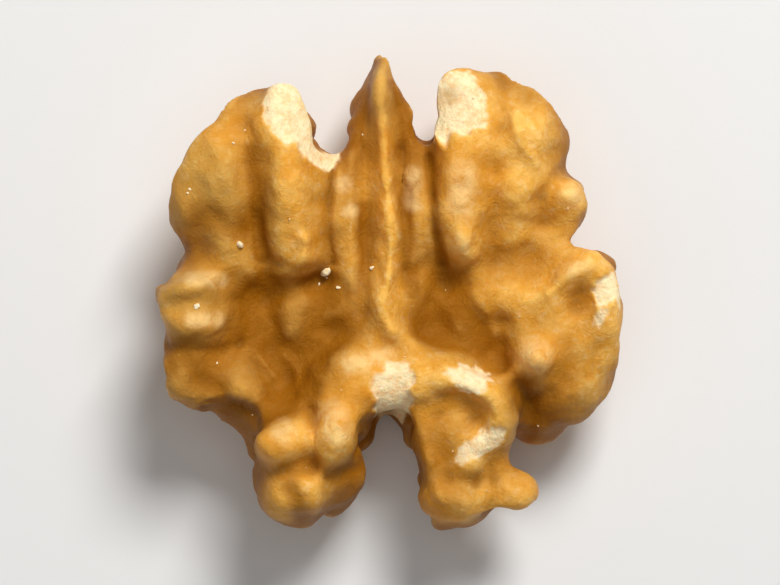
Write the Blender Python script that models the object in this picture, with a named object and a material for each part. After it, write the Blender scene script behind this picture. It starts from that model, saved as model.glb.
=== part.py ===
"""Half of a shelled walnut, one kernel grown as one piece, lying on its rounded back.

The origin is on the resting surface under the middle of the kernel's box, +Y points to the tip
of the spine and +Z up, towards the inner face. The shape is worked out in millimetres and the
finished mesh is scaled to metres.
"""
import math

import bmesh
import bpy
import numpy as np
from mathutils import Matrix

# driving dimensions, in millimetres
LENGTH = 32.2                # along Y, over the tip and the two lower lobes
WIDTH = 31.5                 # along X, over the two sides
BACK_HALF_WIDTH = 15.9       # the rounded back is half of an ellipsoid
BACK_HALF_LENGTH = 17.4
BACK_DEPTH = 9.8
CREASE_RADIUS = 0.7          # creases between folds are rounded to this
GRAIN = 0.30                 # edge of the voxels the folds are melted together in
DRIFT_LENGTH = 7.5           # the shape wanders sideways over this length
DRIFT = (0.3, 0.3, 0.25)     # by this much along X, Y and Z
DRIFT_WAVES = 12
DRIFT_SEEDS = (20, 21, 22)
FOLD_SPACING = 4.3           # between the grooves of the back
FOLD_DEPTH = 1.9
FOLD_WANDER = 2.0            # how far the grooves stray from straight lines
FOLD_FADE = (9.0, 12.5)      # the grooves fade out between these heights
FOLD_WAVES = 9
FOLD_SLANT = 0.7             # the most that a wave of the grooves slants, in radians
FOLD_SEED = 11
WANDER_LENGTH = 8.0
WANDER_WAVES = 10
WANDER_SEEDS = (6, 7)        # round the back and along it
MIDDLE_HALF_WIDTH = 1.5      # of the groove along the middle of the back
BACK_CENTRE_HEIGHT = 9.0     # the grooves are laid out round a line at this height
BACK_RADIUS = 13.0
LUMP_LENGTH = 3.2            # small lumps all over
LUMP_HEIGHT = 0.16
LUMP_WAVES = (30, 40)        # in the lumps and in the lumps of half their length
LUMP_SEEDS = (41, 42)
REST_NEAR = 3.0              # the folds that it rests on are between these distances
REST_FAR = 7.5               # from its middle
REST_THIRDS = (30, 150, 270) # bearings in degrees where the three thirds round it start
FLAT_DEPTH = 0.5             # taken off those folds, so that the kernel lies steady
TRIANGLE_LIMIT = 10800
PATH_STEP = 0.45             # between the stations of a fold
RING_SIDES = 20
RING_SQUARENESS = 0.85       # 1 is an oval, smaller is squarer
CUTTER_TOP = 30.0            # the cutters reach from here
CUTTER_DEPTH = 44.0          # down to well below the kernel
METRES = 0.001

# rounded masses: x, y, top, bottom, half width, half length, turn in degrees
MASSES = {
    "core": (0.0, 0.2, 8.3, -3.0, 8.8, 10.2, 0),
    "left_floor": (-8.2, -2.8, 8.8, -2.0, 5.4, 4.6, 0),
    "left_wing": (-9.9, 8.3, 11.9, 0.0, 4.5, 6.5, -35),
    "left_boss": (-12.4, -0.8, 11.5, 1.0, 3.2, 3.1, 0),
    "left_boss_upper": (-12.7, 0.5, 12.1, 2.0, 2.6, 1.7, 0),
    "left_boss_lower": (-12.5, -2.0, 12.0, 2.0, 2.6, 1.5, 10),
    "left_boss_outer": (-14.2, -0.4, 11.1, 2.0, 1.8, 2.4, 0),
    "left_shoulder": (-13.4, -4.9, 9.9, 1.0, 2.8, 2.6, 0),
    "left_skirt": (-9.9, -6.0, 9.4, 1.0, 3.6, 3.0, 0),
    "left_heel": (-5.9, -11.5, 11.0, 0.0, 3.5, 3.9, 0),
    "left_heel_saddle": (-5.4, -7.6, 10.7, 0.0, 2.2, 1.9, 0),
    "left_heel_bulb": (-5.9, -12.4, 11.7, 1.0, 3.4, 2.7, 0),
    "left_heel_outer_knob": (-6.9, -9.7, 13.1, 3.0, 1.9, 2.4, -54),
    "left_heel_inner_knob": (-3.4, -9.0, 13.5, 3.0, 1.85, 2.5, 0),
    "left_heel_back": (-2.1, -11.6, 8.6, 2.0, 1.3, 2.1, 0),
    "left_hollow_floor": (-4.5, -2.2, 9.2, 0.0, 3.0, 3.4, 0),
    "right_floor": (5.2, -1.4, 10.0, -2.0, 4.0, 4.8, 0),
    "right_heel": (4.4, -12.2, 11.0, 0.0, 2.8, 3.3, 0),
    "right_heel_bulb": (4.5, -12.6, 11.4, 1.0, 2.9, 2.6, 0),
    "right_heel_inside": (4.3, -9.0, 11.3, 1.0, 2.6, 3.0, 0),
    "right_wing": (7.2, 10.5, 12.2, 0.0, 4.6, 5.2, 0),
    "right_wing_bulge": (9.4, 11.0, 12.2, 2.0, 2.7, 3.0, 25),
    "right_saddle": (10.3, 3.4, 10.7, 0.0, 2.0, 1.9, 0),
    "right_cheek": (11.0, -3.0, 11.6, 0.0, 4.5, 6.2, 0),
    "right_corner": (13.6, 1.3, 12.2, 2.0, 2.1, 2.1, 0),
    "right_bump": (9.7, -4.2, 13.8, 2.0, 1.8, 1.9, 0),
    "right_cheek_low": (11.7, -5.6, 11.4, 1.0, 3.2, 3.2, 0),
    "right_skirt": (10.2, -7.2, 9.6, 1.0, 2.9, 2.6, 0),
}

# folds: depth, then points along the crest as (x, y, top, half width)
FOLDS = {
    "spine": (6.0, ((-0.45, 15.6, 8.8, 0.8), (-0.3, 14.4, 9.2, 1.3), (-0.2, 12.4, 9.6, 1.9),
                    (-0.3, 9.7, 9.8, 2.4), (-0.2, 4.9, 10.0, 2.9), (0.0, 0.1, 10.0, 3.2),
                    (0.05, -3.5, 10.0, 3.4))),
    "left_column": (9.0, ((-7.0, 12.4, 12.2, 1.7), (-6.7, 9.7, 12.8, 2.2), (-6.4, 7.3, 12.9, 2.3),
                          (-6.1, 4.9, 12.6, 2.2), (-5.8, 3.2, 11.7, 1.8))),
    "left_saddle": (6.0, ((-10.8, 3.9, 10.6, 1.4), (-9.6, 3.0, 10.5, 1.5), (-8.2, 1.6, 10.0, 1.4))),
    "left_arc": (4.0, ((-12.3, -6.9, 9.6, 0.9), (-10.1, -6.0, 10.1, 1.0), (-8.2, -6.9, 9.6, 0.9))),
    "tongue": (4.0, ((-6.9, 0.9, 9.7, 1.1), (-6.1, -0.8, 9.8, 0.9), (-6.2, -2.8, 9.4, 0.6))),
    "ledge_left": (3.0, ((-3.5, 8.3, 10.4, 0.5), (-3.05, 6.8, 10.7, 0.6), (-2.7, 5.5, 10.8, 0.6),
                         (-2.85, 3.4, 10.5, 0.7), (-2.95, 1.0, 10.1, 0.8), (-3.1, -1.1, 9.8, 0.9))),
    "ledge_right": (3.0, ((1.75, 8.3, 10.3, 0.45), (1.85, 6.8, 10.5, 0.6), (1.75, 4.9, 10.5, 0.6),
                          (1.6, 2.5, 10.2, 0.7))),
    "wedge_right": (5.0, ((0.1, -2.1, 10.5, 0.9), (1.3, -3.1, 10.8, 1.1), (2.8, -4.1, 11.3, 1.2),
                          (4.3, -5.0, 11.9, 1.3))),
    "wedge_left": (5.0, ((-0.7, -2.3, 10.4, 1.0), (-1.9, -3.8, 10.8, 1.1), (-3.1, -4.9, 11.2, 1.2))),
    "bridge": (6.0, ((-3.8, -5.5, 11.0, 1.3), (-2.1, -5.2, 11.6, 1.6), (0.3, -5.8, 12.1, 1.9),
                     (2.5, -5.3, 12.1, 1.5), (4.9, -5.5, 12.6, 1.25), (6.8, -6.3, 12.7, 1.05),
                     (7.6, -7.9, 12.6, 1.0), (7.3, -9.3, 12.3, 1.0), (6.2, -10.2, 11.9, 1.0),
                     (5.2, -11.2, 11.5, 0.9))),
    "left_neck": (7.0, ((-2.6, -5.9, 11.5, 1.4), (-2.9, -7.9, 12.3, 1.6))),
    "right_neck": (7.0, ((2.7, -7.0, 10.9, 1.1), (2.4, -8.8, 11.3, 1.0), (2.6, -10.6, 11.4, 1.0))),
    "right_heel_knob": (5.0, ((5.6, -12.9, 10.4, 1.5), (8.5, -12.9, 10.2, 1.45))),
    "right_heel_tip": (4.0, ((4.4, -14.2, 8.6, 1.2), (5.6, -14.2, 8.4, 1.1))),
    "right_column": (9.0, ((4.9, 13.4, 12.3, 1.9), (4.75, 9.7, 13.0, 2.05), (4.85, 7.3, 13.1, 2.15),
                           (4.95, 4.9, 12.8, 2.1), (4.9, 3.1, 12.0, 1.8))),
    "right_wing_low": (7.0, ((9.3, 9.0, 11.9, 1.4), (8.5, 6.3, 11.9, 1.6), (7.8, 4.0, 11.1, 1.6))),
    "right_side_knob": (6.0, ((9.6, 5.8, 10.4, 1.2), (11.9, 6.3, 11.9, 1.6))),
    "right_rise": (5.0, ((10.2, 0.3, 11.6, 1.1), (11.8, 1.7, 12.2, 1.2), (13.4, 2.2, 12.3, 1.1))),
    "right_edge": (5.0, ((14.4, 0.3, 12.3, 1.2), (14.3, -1.6, 12.0, 1.25), (13.7, -3.7, 11.1, 1.3))),
    "right_brow": (6.0, ((6.3, 0.8, 10.6, 1.5), (8.2, 0.0, 11.2, 1.7), (10.4, -0.6, 11.7, 1.7))),
}

# gaps that stay open between the masses: points along each as (x, y, half width)
GAPS = {
    "left_of_tip": ((-3.3, 9.8, 0.35), (-3.55, 10.8, 0.8), (-3.7, 12.3, 1.35), (-3.8, 14.0, 1.95),
                    (-4.0, 18.5, 2.9)),
    "right_of_tip": ((2.4, 9.9, 0.2), (2.4, 11.0, 0.35), (2.4, 12.8, 0.7), (2.1, 14.4, 1.15),
                     (2.0, 18.5, 2.2)),
    "between_heels": ((0.15, -9.2, 0.95), (0.0, -10.4, 1.1), (-0.1, -12.6, 1.35), (-0.5, -14.0, 2.2),
                      (-0.7, -15.2, 3.2), (-0.6, -18.5, 4.2)),
    "above_side_knob": ((11.4, 7.95, 0.25), (12.6, 8.25, 0.6), (14.6, 9.0, 1.5)),
    "below_side_knob": ((12.1, 3.7, 0.35), (13.0, 3.95, 0.65), (15.0, 4.7, 1.3)),
}

# relief drawn on the inner face: height, width, then points (x, y)
STROKES = {
    "crest": (1.1, 0.58, ((-0.72, 14.6), (-0.55, 13.2), (-0.42, 11.6), (-0.31, 9.7), (-0.14, 6.8),
                          (0.05, 4.4), (0.1, 2.5), (-0.14, 0.8), (-0.5, -0.2), (-0.35, -1.4),
                          (0.1, -2.2))),
    "groove_left_of_crest": (-0.4, 0.55, ((-1.5, 9.7), (-1.35, 6.8), (-1.3, 4.0), (-1.4, 1.0),
                                          (-1.6, -1.0))),
    "groove_right_of_crest": (-0.5, 0.45, ((0.75, 9.7), (0.85, 6.8), (0.95, 4.0), (0.9, 1.0))),
    "right_wing_thread": (0.5, 0.45, ((8.2, 11.8), (8.6, 9.95), (9.7, 8.7))),
    "left_hook": (0.8, 0.5, ((-5.4, 3.6), (-5.6, 2.4), (-6.2, 1.6), (-7.1, 1.3))),
    "left_valley": (-0.9, 1.1, ((-9.6, 11.0), (-9.3, 8.8), (-9.0, 7.4), (-8.8, 5.6), (-8.4, 4.0))),
    "left_fork": (-0.35, 0.9, ((-9.6, 7.6), (-10.8, 5.8), (-12.2, 4.4))),
    "left_boss_crease": (-0.4, 0.6, ((-14.6, -0.6), (-12.6, -0.4), (-10.4, -0.3))),
    "heel_crease": (-0.8, 0.6, ((-5.0, -7.6), (-4.9, -9.4), (-5.1, -11.0))),
    "heel_fold": (-0.35, 0.5, ((-8.0, -11.3), (-6.0, -11.5), (-4.2, -11.7), (-2.6, -11.4))),
    "heel_dimple": (-0.4, 0.6, ((-6.4, -12.7), (-6.0, -13.6), (-5.8, -14.4))),
    "right_heel_pit": (-0.8, 0.8, ((4.2, -12.3), (5.5, -12.5))),
    "right_valley": (-0.4, 0.6, ((7.6, 14.4), (7.4, 12.0), (7.0, 9.6), (6.9, 7.4), (6.7, 4.4))),
    "side_knob_valley": (-0.6, 0.7, ((11.9, 8.4), (10.7, 7.6), (10.0, 6.4), (10.2, 5.0))),
    "right_pocket": (-0.45, 1.1, ((7.2, -1.9), (7.3, -3.0), (7.4, -4.2), (8.1, -5.8))),
    "column_bump": (0.7, 0.9, ((4.7, 3.5), (4.7, 3.3))),
    "column_foot": (-0.2, 0.8, ((2.9, 2.2), (3.6, 0.9), (5.2, 0.8), (6.6, 2.0))),
    "left_column_foot": (-0.5, 0.9, ((-8.2, 2.2), (-7.2, 0.4), (-4.6, 1.6), (-3.9, 3.2))),
    "curl_recess": (-0.3, 0.9, ((2.8, -8.0), (4.2, -8.0), (5.2, -8.7))),
    "curl_side": (-0.8, 0.6, ((8.7, -5.9), (9.1, -7.2), (9.1, -8.8), (8.8, -10.2))),
    "cheek_crease": (-0.35, 0.8, ((9.6, -1.0), (11.3, -3.4), (11.2, -6.0), (9.4, -7.2))),
}

# places where the brown skin has chipped off flat: x, y, radius, depth, slope along x and y
CHIPS = {
    "left_wing_top": (-7.0, 12.7, 1.7, 0.55, 0.25, -0.30),
    "left_wing_side": (-5.3, 10.6, 1.7, 0.55, -0.55, -0.10),
    "left_wing_foot": (-4.4, 9.1, 1.1, 0.45, -0.60, 0.10),
    "right_wing_top": (4.3, 12.3, 2.0, 0.60, 0.30, -0.30),
    "bridge_middle": (0.5, -6.4, 1.3, 0.40, 0.10, 0.25),
    "bridge_right": (5.1, -5.6, 1.1, 0.30, 0.00, -0.10),
    "curl_foot": (6.5, -9.6, 1.0, 0.30, 0.15, 0.20),
    "curl_end": (5.3, -10.8, 0.8, 0.25, 0.10, 0.10),
    "right_edge_upper": (14.6, 0.2, 1.1, 0.35, -0.35, 0.00),
    "right_edge_lower": (14.4, -1.9, 0.6, 0.25, -0.35, 0.00),
}


def smooth_path(points, step):
    """Points at about the given step along a curve through the given points."""
    knots = np.array(points, float)
    if len(knots) == 2:
        knots = np.array([knots[0], knots.mean(axis=0), knots[1]])
    knots = np.vstack([2 * knots[0] - knots[1], knots, 2 * knots[-1] - knots[-2]])
    path = []
    for before, start, end, after in zip(knots, knots[1:], knots[2:], knots[3:]):
        count = max(2, int(np.linalg.norm((end - start)[:2]) / step))
        for t in np.linspace(0.0, 1.0, count, endpoint=False):
            bend = 2 * before - 5 * start + 4 * end - after
            twist = 3 * start - before - 3 * end + after
            path.append(start + 0.5 * ((end - before) * t + bend * t ** 2 + twist * t ** 3))
    path.append(knots[-2])
    return np.array(path)


def smoothstep(values, low, high):
    """0 below low, 1 above high, and an even rise between them."""
    t = np.clip((values - low) / (high - low), 0.0, 1.0)
    return t * t * (3.0 - 2.0 * t)


def waves(points, length, count, seed):
    """Seeded noise from plane waves of about the given length, nearly all within -1 to 1."""
    rng = np.random.default_rng(seed)
    heading = rng.normal(size=(count, 3))
    heading /= np.linalg.norm(heading, axis=1)[:, None]
    pitch = 2 * math.pi / (length * rng.uniform(0.8, 1.3, count))
    phase = rng.uniform(0, 2 * math.pi, count)
    total = np.cos(points @ (heading * pitch[:, None]).T + phase).sum(axis=1)
    return total / (1.6 * math.sqrt(count / 2))


def distance_to_path(spots, path):
    """Distance in plan from each spot to a drawn line."""
    nearest = np.full(len(spots), np.inf)
    for start, end in zip(path, path[1:]):
        run = end - start
        t = np.clip((spots - start) @ run / max(run @ run, 1e-9), 0.0, 1.0)
        nearest = np.minimum(nearest, np.linalg.norm(spots - start - t[:, None] * run, axis=1))
    return nearest


def new_object(name, bm):
    """An object in the scene with the bmesh as its mesh."""
    mesh = bpy.data.meshes.new(name)
    bm.to_mesh(mesh)
    bm.free()
    ob = bpy.data.objects.new(name, mesh)
    bpy.context.scene.collection.objects.link(ob)
    return ob


def apply_modifier(ob, kind, **values):
    """Adds a modifier, bakes its result into the object's mesh and removes it."""
    modifier = ob.modifiers.new(kind.title(), kind)
    for name, value in values.items():
        setattr(modifier, name, value)
    depsgraph = bpy.context.evaluated_depsgraph_get()
    mesh = bpy.data.meshes.new_from_object(ob.evaluated_get(depsgraph), depsgraph=depsgraph)
    ob.modifiers.clear()
    used = ob.data
    ob.data = mesh
    bpy.data.meshes.remove(used)


def places(ob):
    """The mesh's vertex positions as an array."""
    flat = np.empty(len(ob.data.vertices) * 3, np.float32)
    ob.data.vertices.foreach_get("co", flat)
    return flat.reshape(-1, 3).astype(float)


def normals(ob):
    """The mesh's vertex normals as an array."""
    flat = np.empty(len(ob.data.vertices) * 3, np.float32)
    ob.data.vertex_normals.foreach_get("vector", flat)
    return flat.reshape(-1, 3).astype(float)


def place(ob, points):
    """Moves the mesh's vertices to the given positions."""
    ob.data.vertices.foreach_set("co", points.astype(np.float32).ravel())
    ob.data.update()


def melt(ob, rounds):
    """Joins everything in the mesh into one skin and evens it out."""
    apply_modifier(ob, "REMESH", mode="VOXEL", voxel_size=GRAIN)
    apply_modifier(ob, "SMOOTH", factor=0.5, iterations=rounds)


def add_mass(bm, x, y, top, bottom, half_width, half_length, turn):
    """One ellipsoid, grown by the crease radius."""
    matrix = (Matrix.Translation((x, y, (top + bottom) / 2)) @ Matrix.Rotation(math.radians(turn), 4, "Z")
              @ Matrix.Diagonal((half_width + CREASE_RADIUS, half_length + CREASE_RADIUS,
                                 (top - bottom) / 2 + CREASE_RADIUS, 1.0)))
    bmesh.ops.create_icosphere(bm, subdivisions=4, radius=1.0, matrix=matrix)


def add_ring(bm, middle, along, half_width, half_depth):
    """One upright ring of a fold, a soft-cornered oval across the way it runs."""
    across = np.array([-along[1], along[0]])
    ring = []
    for angle in np.linspace(0, 2 * math.pi, RING_SIDES, endpoint=False):
        side = math.copysign(abs(math.sin(angle)) ** RING_SQUARENESS, math.sin(angle)) * half_width
        rise = math.copysign(abs(math.cos(angle)) ** RING_SQUARENESS, math.cos(angle)) * half_depth
        ring.append(bm.verts.new((*(middle[:2] + across * side), middle[2] + rise)))
    return ring


def add_fold(bm, depth, points, grow):
    """A rounded ridge lofted along its crest, with round ends."""
    path = smooth_path(points, PATH_STEP)
    along = np.gradient(path[:, :2], axis=0)
    along /= np.linalg.norm(along, axis=1)[:, None]
    half_depth = depth / 2 + grow
    stations = [(row, heading, 0.0) for row, heading in zip(path, along)]
    turns = np.radians((20, 40, 60, 80))
    stations += [(path[-1], along[-1], turn) for turn in turns]
    stations = [(path[0], along[0], -turn) for turn in turns[::-1]] + stations
    rings = []
    for (x, y, top, half_width), heading, turn in stations:
        reach = (half_width + grow) * math.sin(turn)
        middle = np.array([x + heading[0] * reach, y + heading[1] * reach, top + grow - half_depth])
        rings.append(add_ring(bm, middle, heading, (half_width + grow) * math.cos(turn),
                              half_depth * math.cos(turn)))
    faces = [bm.faces.new(rings[0][::-1]), bm.faces.new(rings[-1])]
    for ring, following in zip(rings, rings[1:]):
        for k, vertex in enumerate(ring):
            beside = (k + 1) % len(ring)
            faces.append(bm.faces.new((vertex, ring[beside], following[beside], following[k])))
    bmesh.ops.recalc_face_normals(bm, faces=faces)


def back_shape():
    """A guide with the kernel's rounded back, straight-sided and tall above its rim."""
    bm = bmesh.new()
    bmesh.ops.create_uvsphere(bm, u_segments=64, v_segments=48, radius=1.0)
    for vertex in bm.verts:
        half_height = BACK_DEPTH if vertex.co.z < 0 else 3 * BACK_DEPTH
        vertex.co.x *= BACK_HALF_WIDTH
        vertex.co.y *= BACK_HALF_LENGTH
        vertex.co.z = BACK_DEPTH + vertex.co.z * half_height
    return new_object("back_guide", bm)


def gap_cutters():
    """The upright cutters that keep the gaps open."""
    bm = bmesh.new()
    for points in GAPS.values():
        add_fold(bm, CUTTER_DEPTH, [(x, y, CUTTER_TOP, half_width) for x, y, half_width in points], 0.0)
    return new_object("gap_cutters", bm)


def cut_with(ob, guide, operation):
    """Boolean with a guide, which is then removed."""
    apply_modifier(ob, "BOOLEAN", object=guide, operation=operation, solver="EXACT")
    bpy.data.objects.remove(guide)


def melted_masses():
    """All masses and folds in one skin, with the creases between them filled round."""
    bm = bmesh.new()
    for mass in MASSES.values():
        add_mass(bm, *mass)
    for depth, points in FOLDS.values():
        add_fold(bm, depth, points, CREASE_RADIUS)
    ob = new_object("walnut_kernel", bm)
    melt(ob, 3)
    place(ob, places(ob) - normals(ob) * CREASE_RADIUS)
    melt(ob, 1)
    cut_with(ob, back_shape(), "INTERSECT")
    cut_with(ob, gap_cutters(), "DIFFERENCE")
    melt(ob, 4)
    return ob


def bend_gently(ob):
    """Takes the evenness out of the shape."""
    points = places(ob)
    drift = np.stack([waves(points, DRIFT_LENGTH, DRIFT_WAVES, seed) for seed in DRIFT_SEEDS], axis=1)
    place(ob, points + drift * DRIFT)


def draw_relief(ob):
    """Crests, threads, valleys and pockets of the inner face."""
    points = places(ob)
    upward = smoothstep(normals(ob)[:, 2], -0.1, 0.5)
    for height, width, line in STROKES.values():
        away = distance_to_path(points[:, :2], smooth_path(line, PATH_STEP))
        points[:, 2] += height * np.exp(-(away / width) ** 2) * upward
    place(ob, points)


def groove_field(points):
    """0 along the back's grooves, rising to 1 on the folds between them."""
    below = np.maximum(BACK_CENTRE_HEIGHT - points[:, 2], 0.5) + 2.0
    round_the_back = BACK_RADIUS * np.arctan2(points[:, 0], below)
    stray, stray_along = (waves(points, WANDER_LENGTH, WANDER_WAVES, seed) for seed in WANDER_SEEDS)
    across = round_the_back + FOLD_WANDER * stray
    along = points[:, 1] + FOLD_WANDER * stray_along
    rng = np.random.default_rng(FOLD_SEED)
    slants = rng.uniform(-FOLD_SLANT, FOLD_SLANT, FOLD_WAVES)
    pitches = math.pi / (FOLD_SPACING * rng.uniform(0.85, 1.2, FOLD_WAVES))
    phases = rng.uniform(0, 2 * math.pi, FOLD_WAVES)
    field = np.zeros(len(points))
    for slant, pitch, phase in zip(slants, pitches, phases):
        field += np.cos(pitch * (math.sin(slant) * across + math.cos(slant) * along) + phase)
    folds = np.abs(field) / (1.3 * math.sqrt(FOLD_WAVES / 2))
    beside_middle = np.abs(round_the_back + 0.5 * stray) / MIDDLE_HALF_WIDTH
    return np.clip(np.minimum(folds, beside_middle), 0.0, 1.0)


def fold_back(ob):
    """The winding folds of the rounded back, deepest away from the inner face."""
    points = places(ob)
    outward = normals(ob)
    share = smoothstep(-outward[:, 2], -0.45, 0.35) * (1 - smoothstep(points[:, 2], *FOLD_FADE))
    depth = FOLD_DEPTH * (1 - np.sqrt(groove_field(points)))
    place(ob, points - outward * (depth * share)[:, None])


def chip_inner_face(ob):
    """Flattens the places where the skin has chipped off."""
    points = places(ob)
    upward = normals(ob)[:, 2] > 0.3
    for x, y, radius, depth, slope_x, slope_y in CHIPS.values():
        east, north = points[:, 0] - x, points[:, 1] - y
        inside = (np.hypot(east, north) < radius) & upward
        top = np.quantile(points[inside, 2], 0.8)
        plane = top - depth + slope_x * east + slope_y * north
        points[:, 2] = np.where(inside, np.minimum(points[:, 2], plane), points[:, 2])
    place(ob, points)


def add_lumps(ob):
    """Small soft lumps all over."""
    points = places(ob)
    lumps = waves(points, LUMP_LENGTH, LUMP_WAVES[0], LUMP_SEEDS[0])
    lumps += 0.3 * waves(points, LUMP_LENGTH / 2, LUMP_WAVES[1], LUMP_SEEDS[1])
    place(ob, points + normals(ob) * (LUMP_HEIGHT * lumps)[:, None])


def keep_largest_body(ob):
    """Drops loose crumbs that the melting left."""
    bm = bmesh.new()
    bm.from_mesh(ob.data)
    bodies = []
    unseen = set(bm.verts)
    while unseen:
        body, edge_of_body = set(), [unseen.pop()]
        while edge_of_body:
            vertex = edge_of_body.pop()
            body.add(vertex)
            for edge in vertex.link_edges:
                beside = edge.other_vert(vertex)
                if beside in unseen:
                    unseen.discard(beside)
                    edge_of_body.append(beside)
        bodies.append(body)
    bodies.sort(key=len)
    for body in bodies[:-1]:
        bmesh.ops.delete(bm, geom=list(body), context="VERTS")
    bm.to_mesh(ob.data)
    bm.free()


def fit_box(ob):
    """Brings the kernel to its length and width, centred over the origin."""
    points = places(ob)
    low, high = points.min(axis=0), points.max(axis=0)
    points[:, :2] -= (low + high)[:2] / 2
    points[:, 0] *= WIDTH / (high - low)[0]
    points[:, 1] *= LENGTH / (high - low)[1]
    place(ob, points)


def level_low_folds(ob):
    """Leans the kernel until its lowest folds, one in each third round its middle, are level."""
    for _ in range(3):
        points = places(ob)
        bearing = np.degrees(np.arctan2(points[:, 1], points[:, 0]))
        away = np.hypot(points[:, 0], points[:, 1])
        lows = []
        for start in REST_THIRDS:
            third = ((bearing - start) % 360 < 120) & (away > REST_NEAR) & (away < REST_FAR)
            lows.append(points[third][np.argmin(points[third, 2])])
        lows = np.array(lows)
        lean = np.linalg.solve(np.column_stack((lows[:, :2], np.ones(3))), lows[:, 2])
        points[:, 2] -= points[:, :2] @ lean[:2]
        place(ob, points)


def lay_down(ob):
    """Flattens the lowest folds a little and puts them on the surface."""
    points = places(ob)
    points[:, 2] = np.maximum(points[:, 2] - points[:, 2].min() - FLAT_DEPTH, 0.0)
    place(ob, points)


def to_metres(ob):
    """Scales the finished mesh to metres and shades it smooth."""
    ob.data.transform(Matrix.Diagonal((METRES, METRES, METRES, 1.0)))
    for polygon in ob.data.polygons:
        polygon.use_smooth = True


def kernel_skin():
    """The material of the thin brown skin."""
    material = bpy.data.materials.new("walnut_kernel")
    material.use_nodes = True
    shader = material.node_tree.nodes["Principled BSDF"]
    shader.inputs["Base Color"].default_value = (0.60, 0.36, 0.12, 1.0)
    shader.inputs["Roughness"].default_value = 0.45
    shader.inputs["Metallic"].default_value = 0.0
    return material


def build_kernel():
    """The whole kernel, one closed body."""
    ob = melted_masses()
    bend_gently(ob)
    draw_relief(ob)
    fold_back(ob)
    chip_inner_face(ob)
    melt(ob, 1)
    add_lumps(ob)
    keep_largest_body(ob)
    fit_box(ob)
    level_low_folds(ob)
    apply_modifier(ob, "TRIANGULATE")
    apply_modifier(ob, "DECIMATE", ratio=min(1.0, TRIANGLE_LIMIT / len(ob.data.polygons)))
    lay_down(ob)
    to_metres(ob)
    ob.data.materials.append(kernel_skin())
    return ob


def main():
    for old in list(bpy.data.objects):
        bpy.data.objects.remove(old)
    build_kernel()


if __name__ == "__main__":
    main()
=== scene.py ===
"""The looks of half a shelled walnut, lying on its rounded back on a pale studio floor.

One fine mesh stands for the frame's kernel. It is melted together from the same masses and folds,
then gets finer relief, flat cream chips where the skin has come off, and a skin whose colour
follows its hollows and ridges, with shade painted into its hollows, creases and dark patches and
highlights painted on its pale patches. Shapes are worked out in millimetres and scaled to metres
last.
"""
import logging
import math
from dataclasses import dataclass, field
from enum import Enum
from typing import Any, Iterable, Sequence

import bmesh
import bpy
import numpy as np
from mathutils import Matrix, Vector


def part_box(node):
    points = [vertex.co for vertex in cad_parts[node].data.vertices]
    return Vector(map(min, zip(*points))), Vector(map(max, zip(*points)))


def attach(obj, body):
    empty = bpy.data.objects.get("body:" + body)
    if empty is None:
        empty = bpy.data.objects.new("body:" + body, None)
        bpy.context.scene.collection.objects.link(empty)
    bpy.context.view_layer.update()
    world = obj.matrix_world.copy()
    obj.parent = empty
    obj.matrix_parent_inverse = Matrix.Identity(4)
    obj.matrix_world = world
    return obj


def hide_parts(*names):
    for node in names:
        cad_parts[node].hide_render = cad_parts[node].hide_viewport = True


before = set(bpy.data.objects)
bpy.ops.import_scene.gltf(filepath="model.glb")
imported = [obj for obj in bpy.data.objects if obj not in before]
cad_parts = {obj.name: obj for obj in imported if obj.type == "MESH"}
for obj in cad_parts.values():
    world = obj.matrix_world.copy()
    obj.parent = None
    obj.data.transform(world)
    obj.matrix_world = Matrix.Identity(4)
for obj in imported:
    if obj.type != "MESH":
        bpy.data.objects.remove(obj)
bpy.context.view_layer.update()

NODE = "walnut_kernel"
BODY = "root"
METRES = 0.001

Numbers = Sequence[float]
Line = Sequence[tuple[float, float]]
log = logging.getLogger(NODE)


@dataclass(frozen=True)
class Mass:
    """An upright ellipsoid of flesh, in millimetres.

    Attributes:
        x: Middle, towards the right.
        y: Middle, towards the tip of the spine.
        top: Highest level.
        bottom: Lowest level.
        half_width: Half its extent across.
        half_length: Half its extent along.
        turn: Turn round the upright axis, in degrees.
    """

    x: float
    y: float
    top: float
    bottom: float
    half_width: float
    half_length: float
    turn: float = 0.0


@dataclass(frozen=True)
class Fold:
    """A rounded ridge that follows a line of (x, y, top, half width) in millimetres."""

    depth: float
    crest: Sequence[tuple[float, float, float, float]]


@dataclass(frozen=True)
class Stroke:
    """A line of relief on the inner face: its height, its width and the line it follows."""

    height: float
    width: float
    line: Line


@dataclass(frozen=True)
class Chip:
    """A patch where the skin came off.

    Attributes:
        outline: Its outline in plan.
        depth: How deep it broke.
        flatness: How flat it broke, from 0 to 1.
        lean: The share of the surface's slope that the break kept.
    """

    outline: Line
    depth: float = 0.25
    flatness: float = 0.6
    lean: float = 1.0


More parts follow.
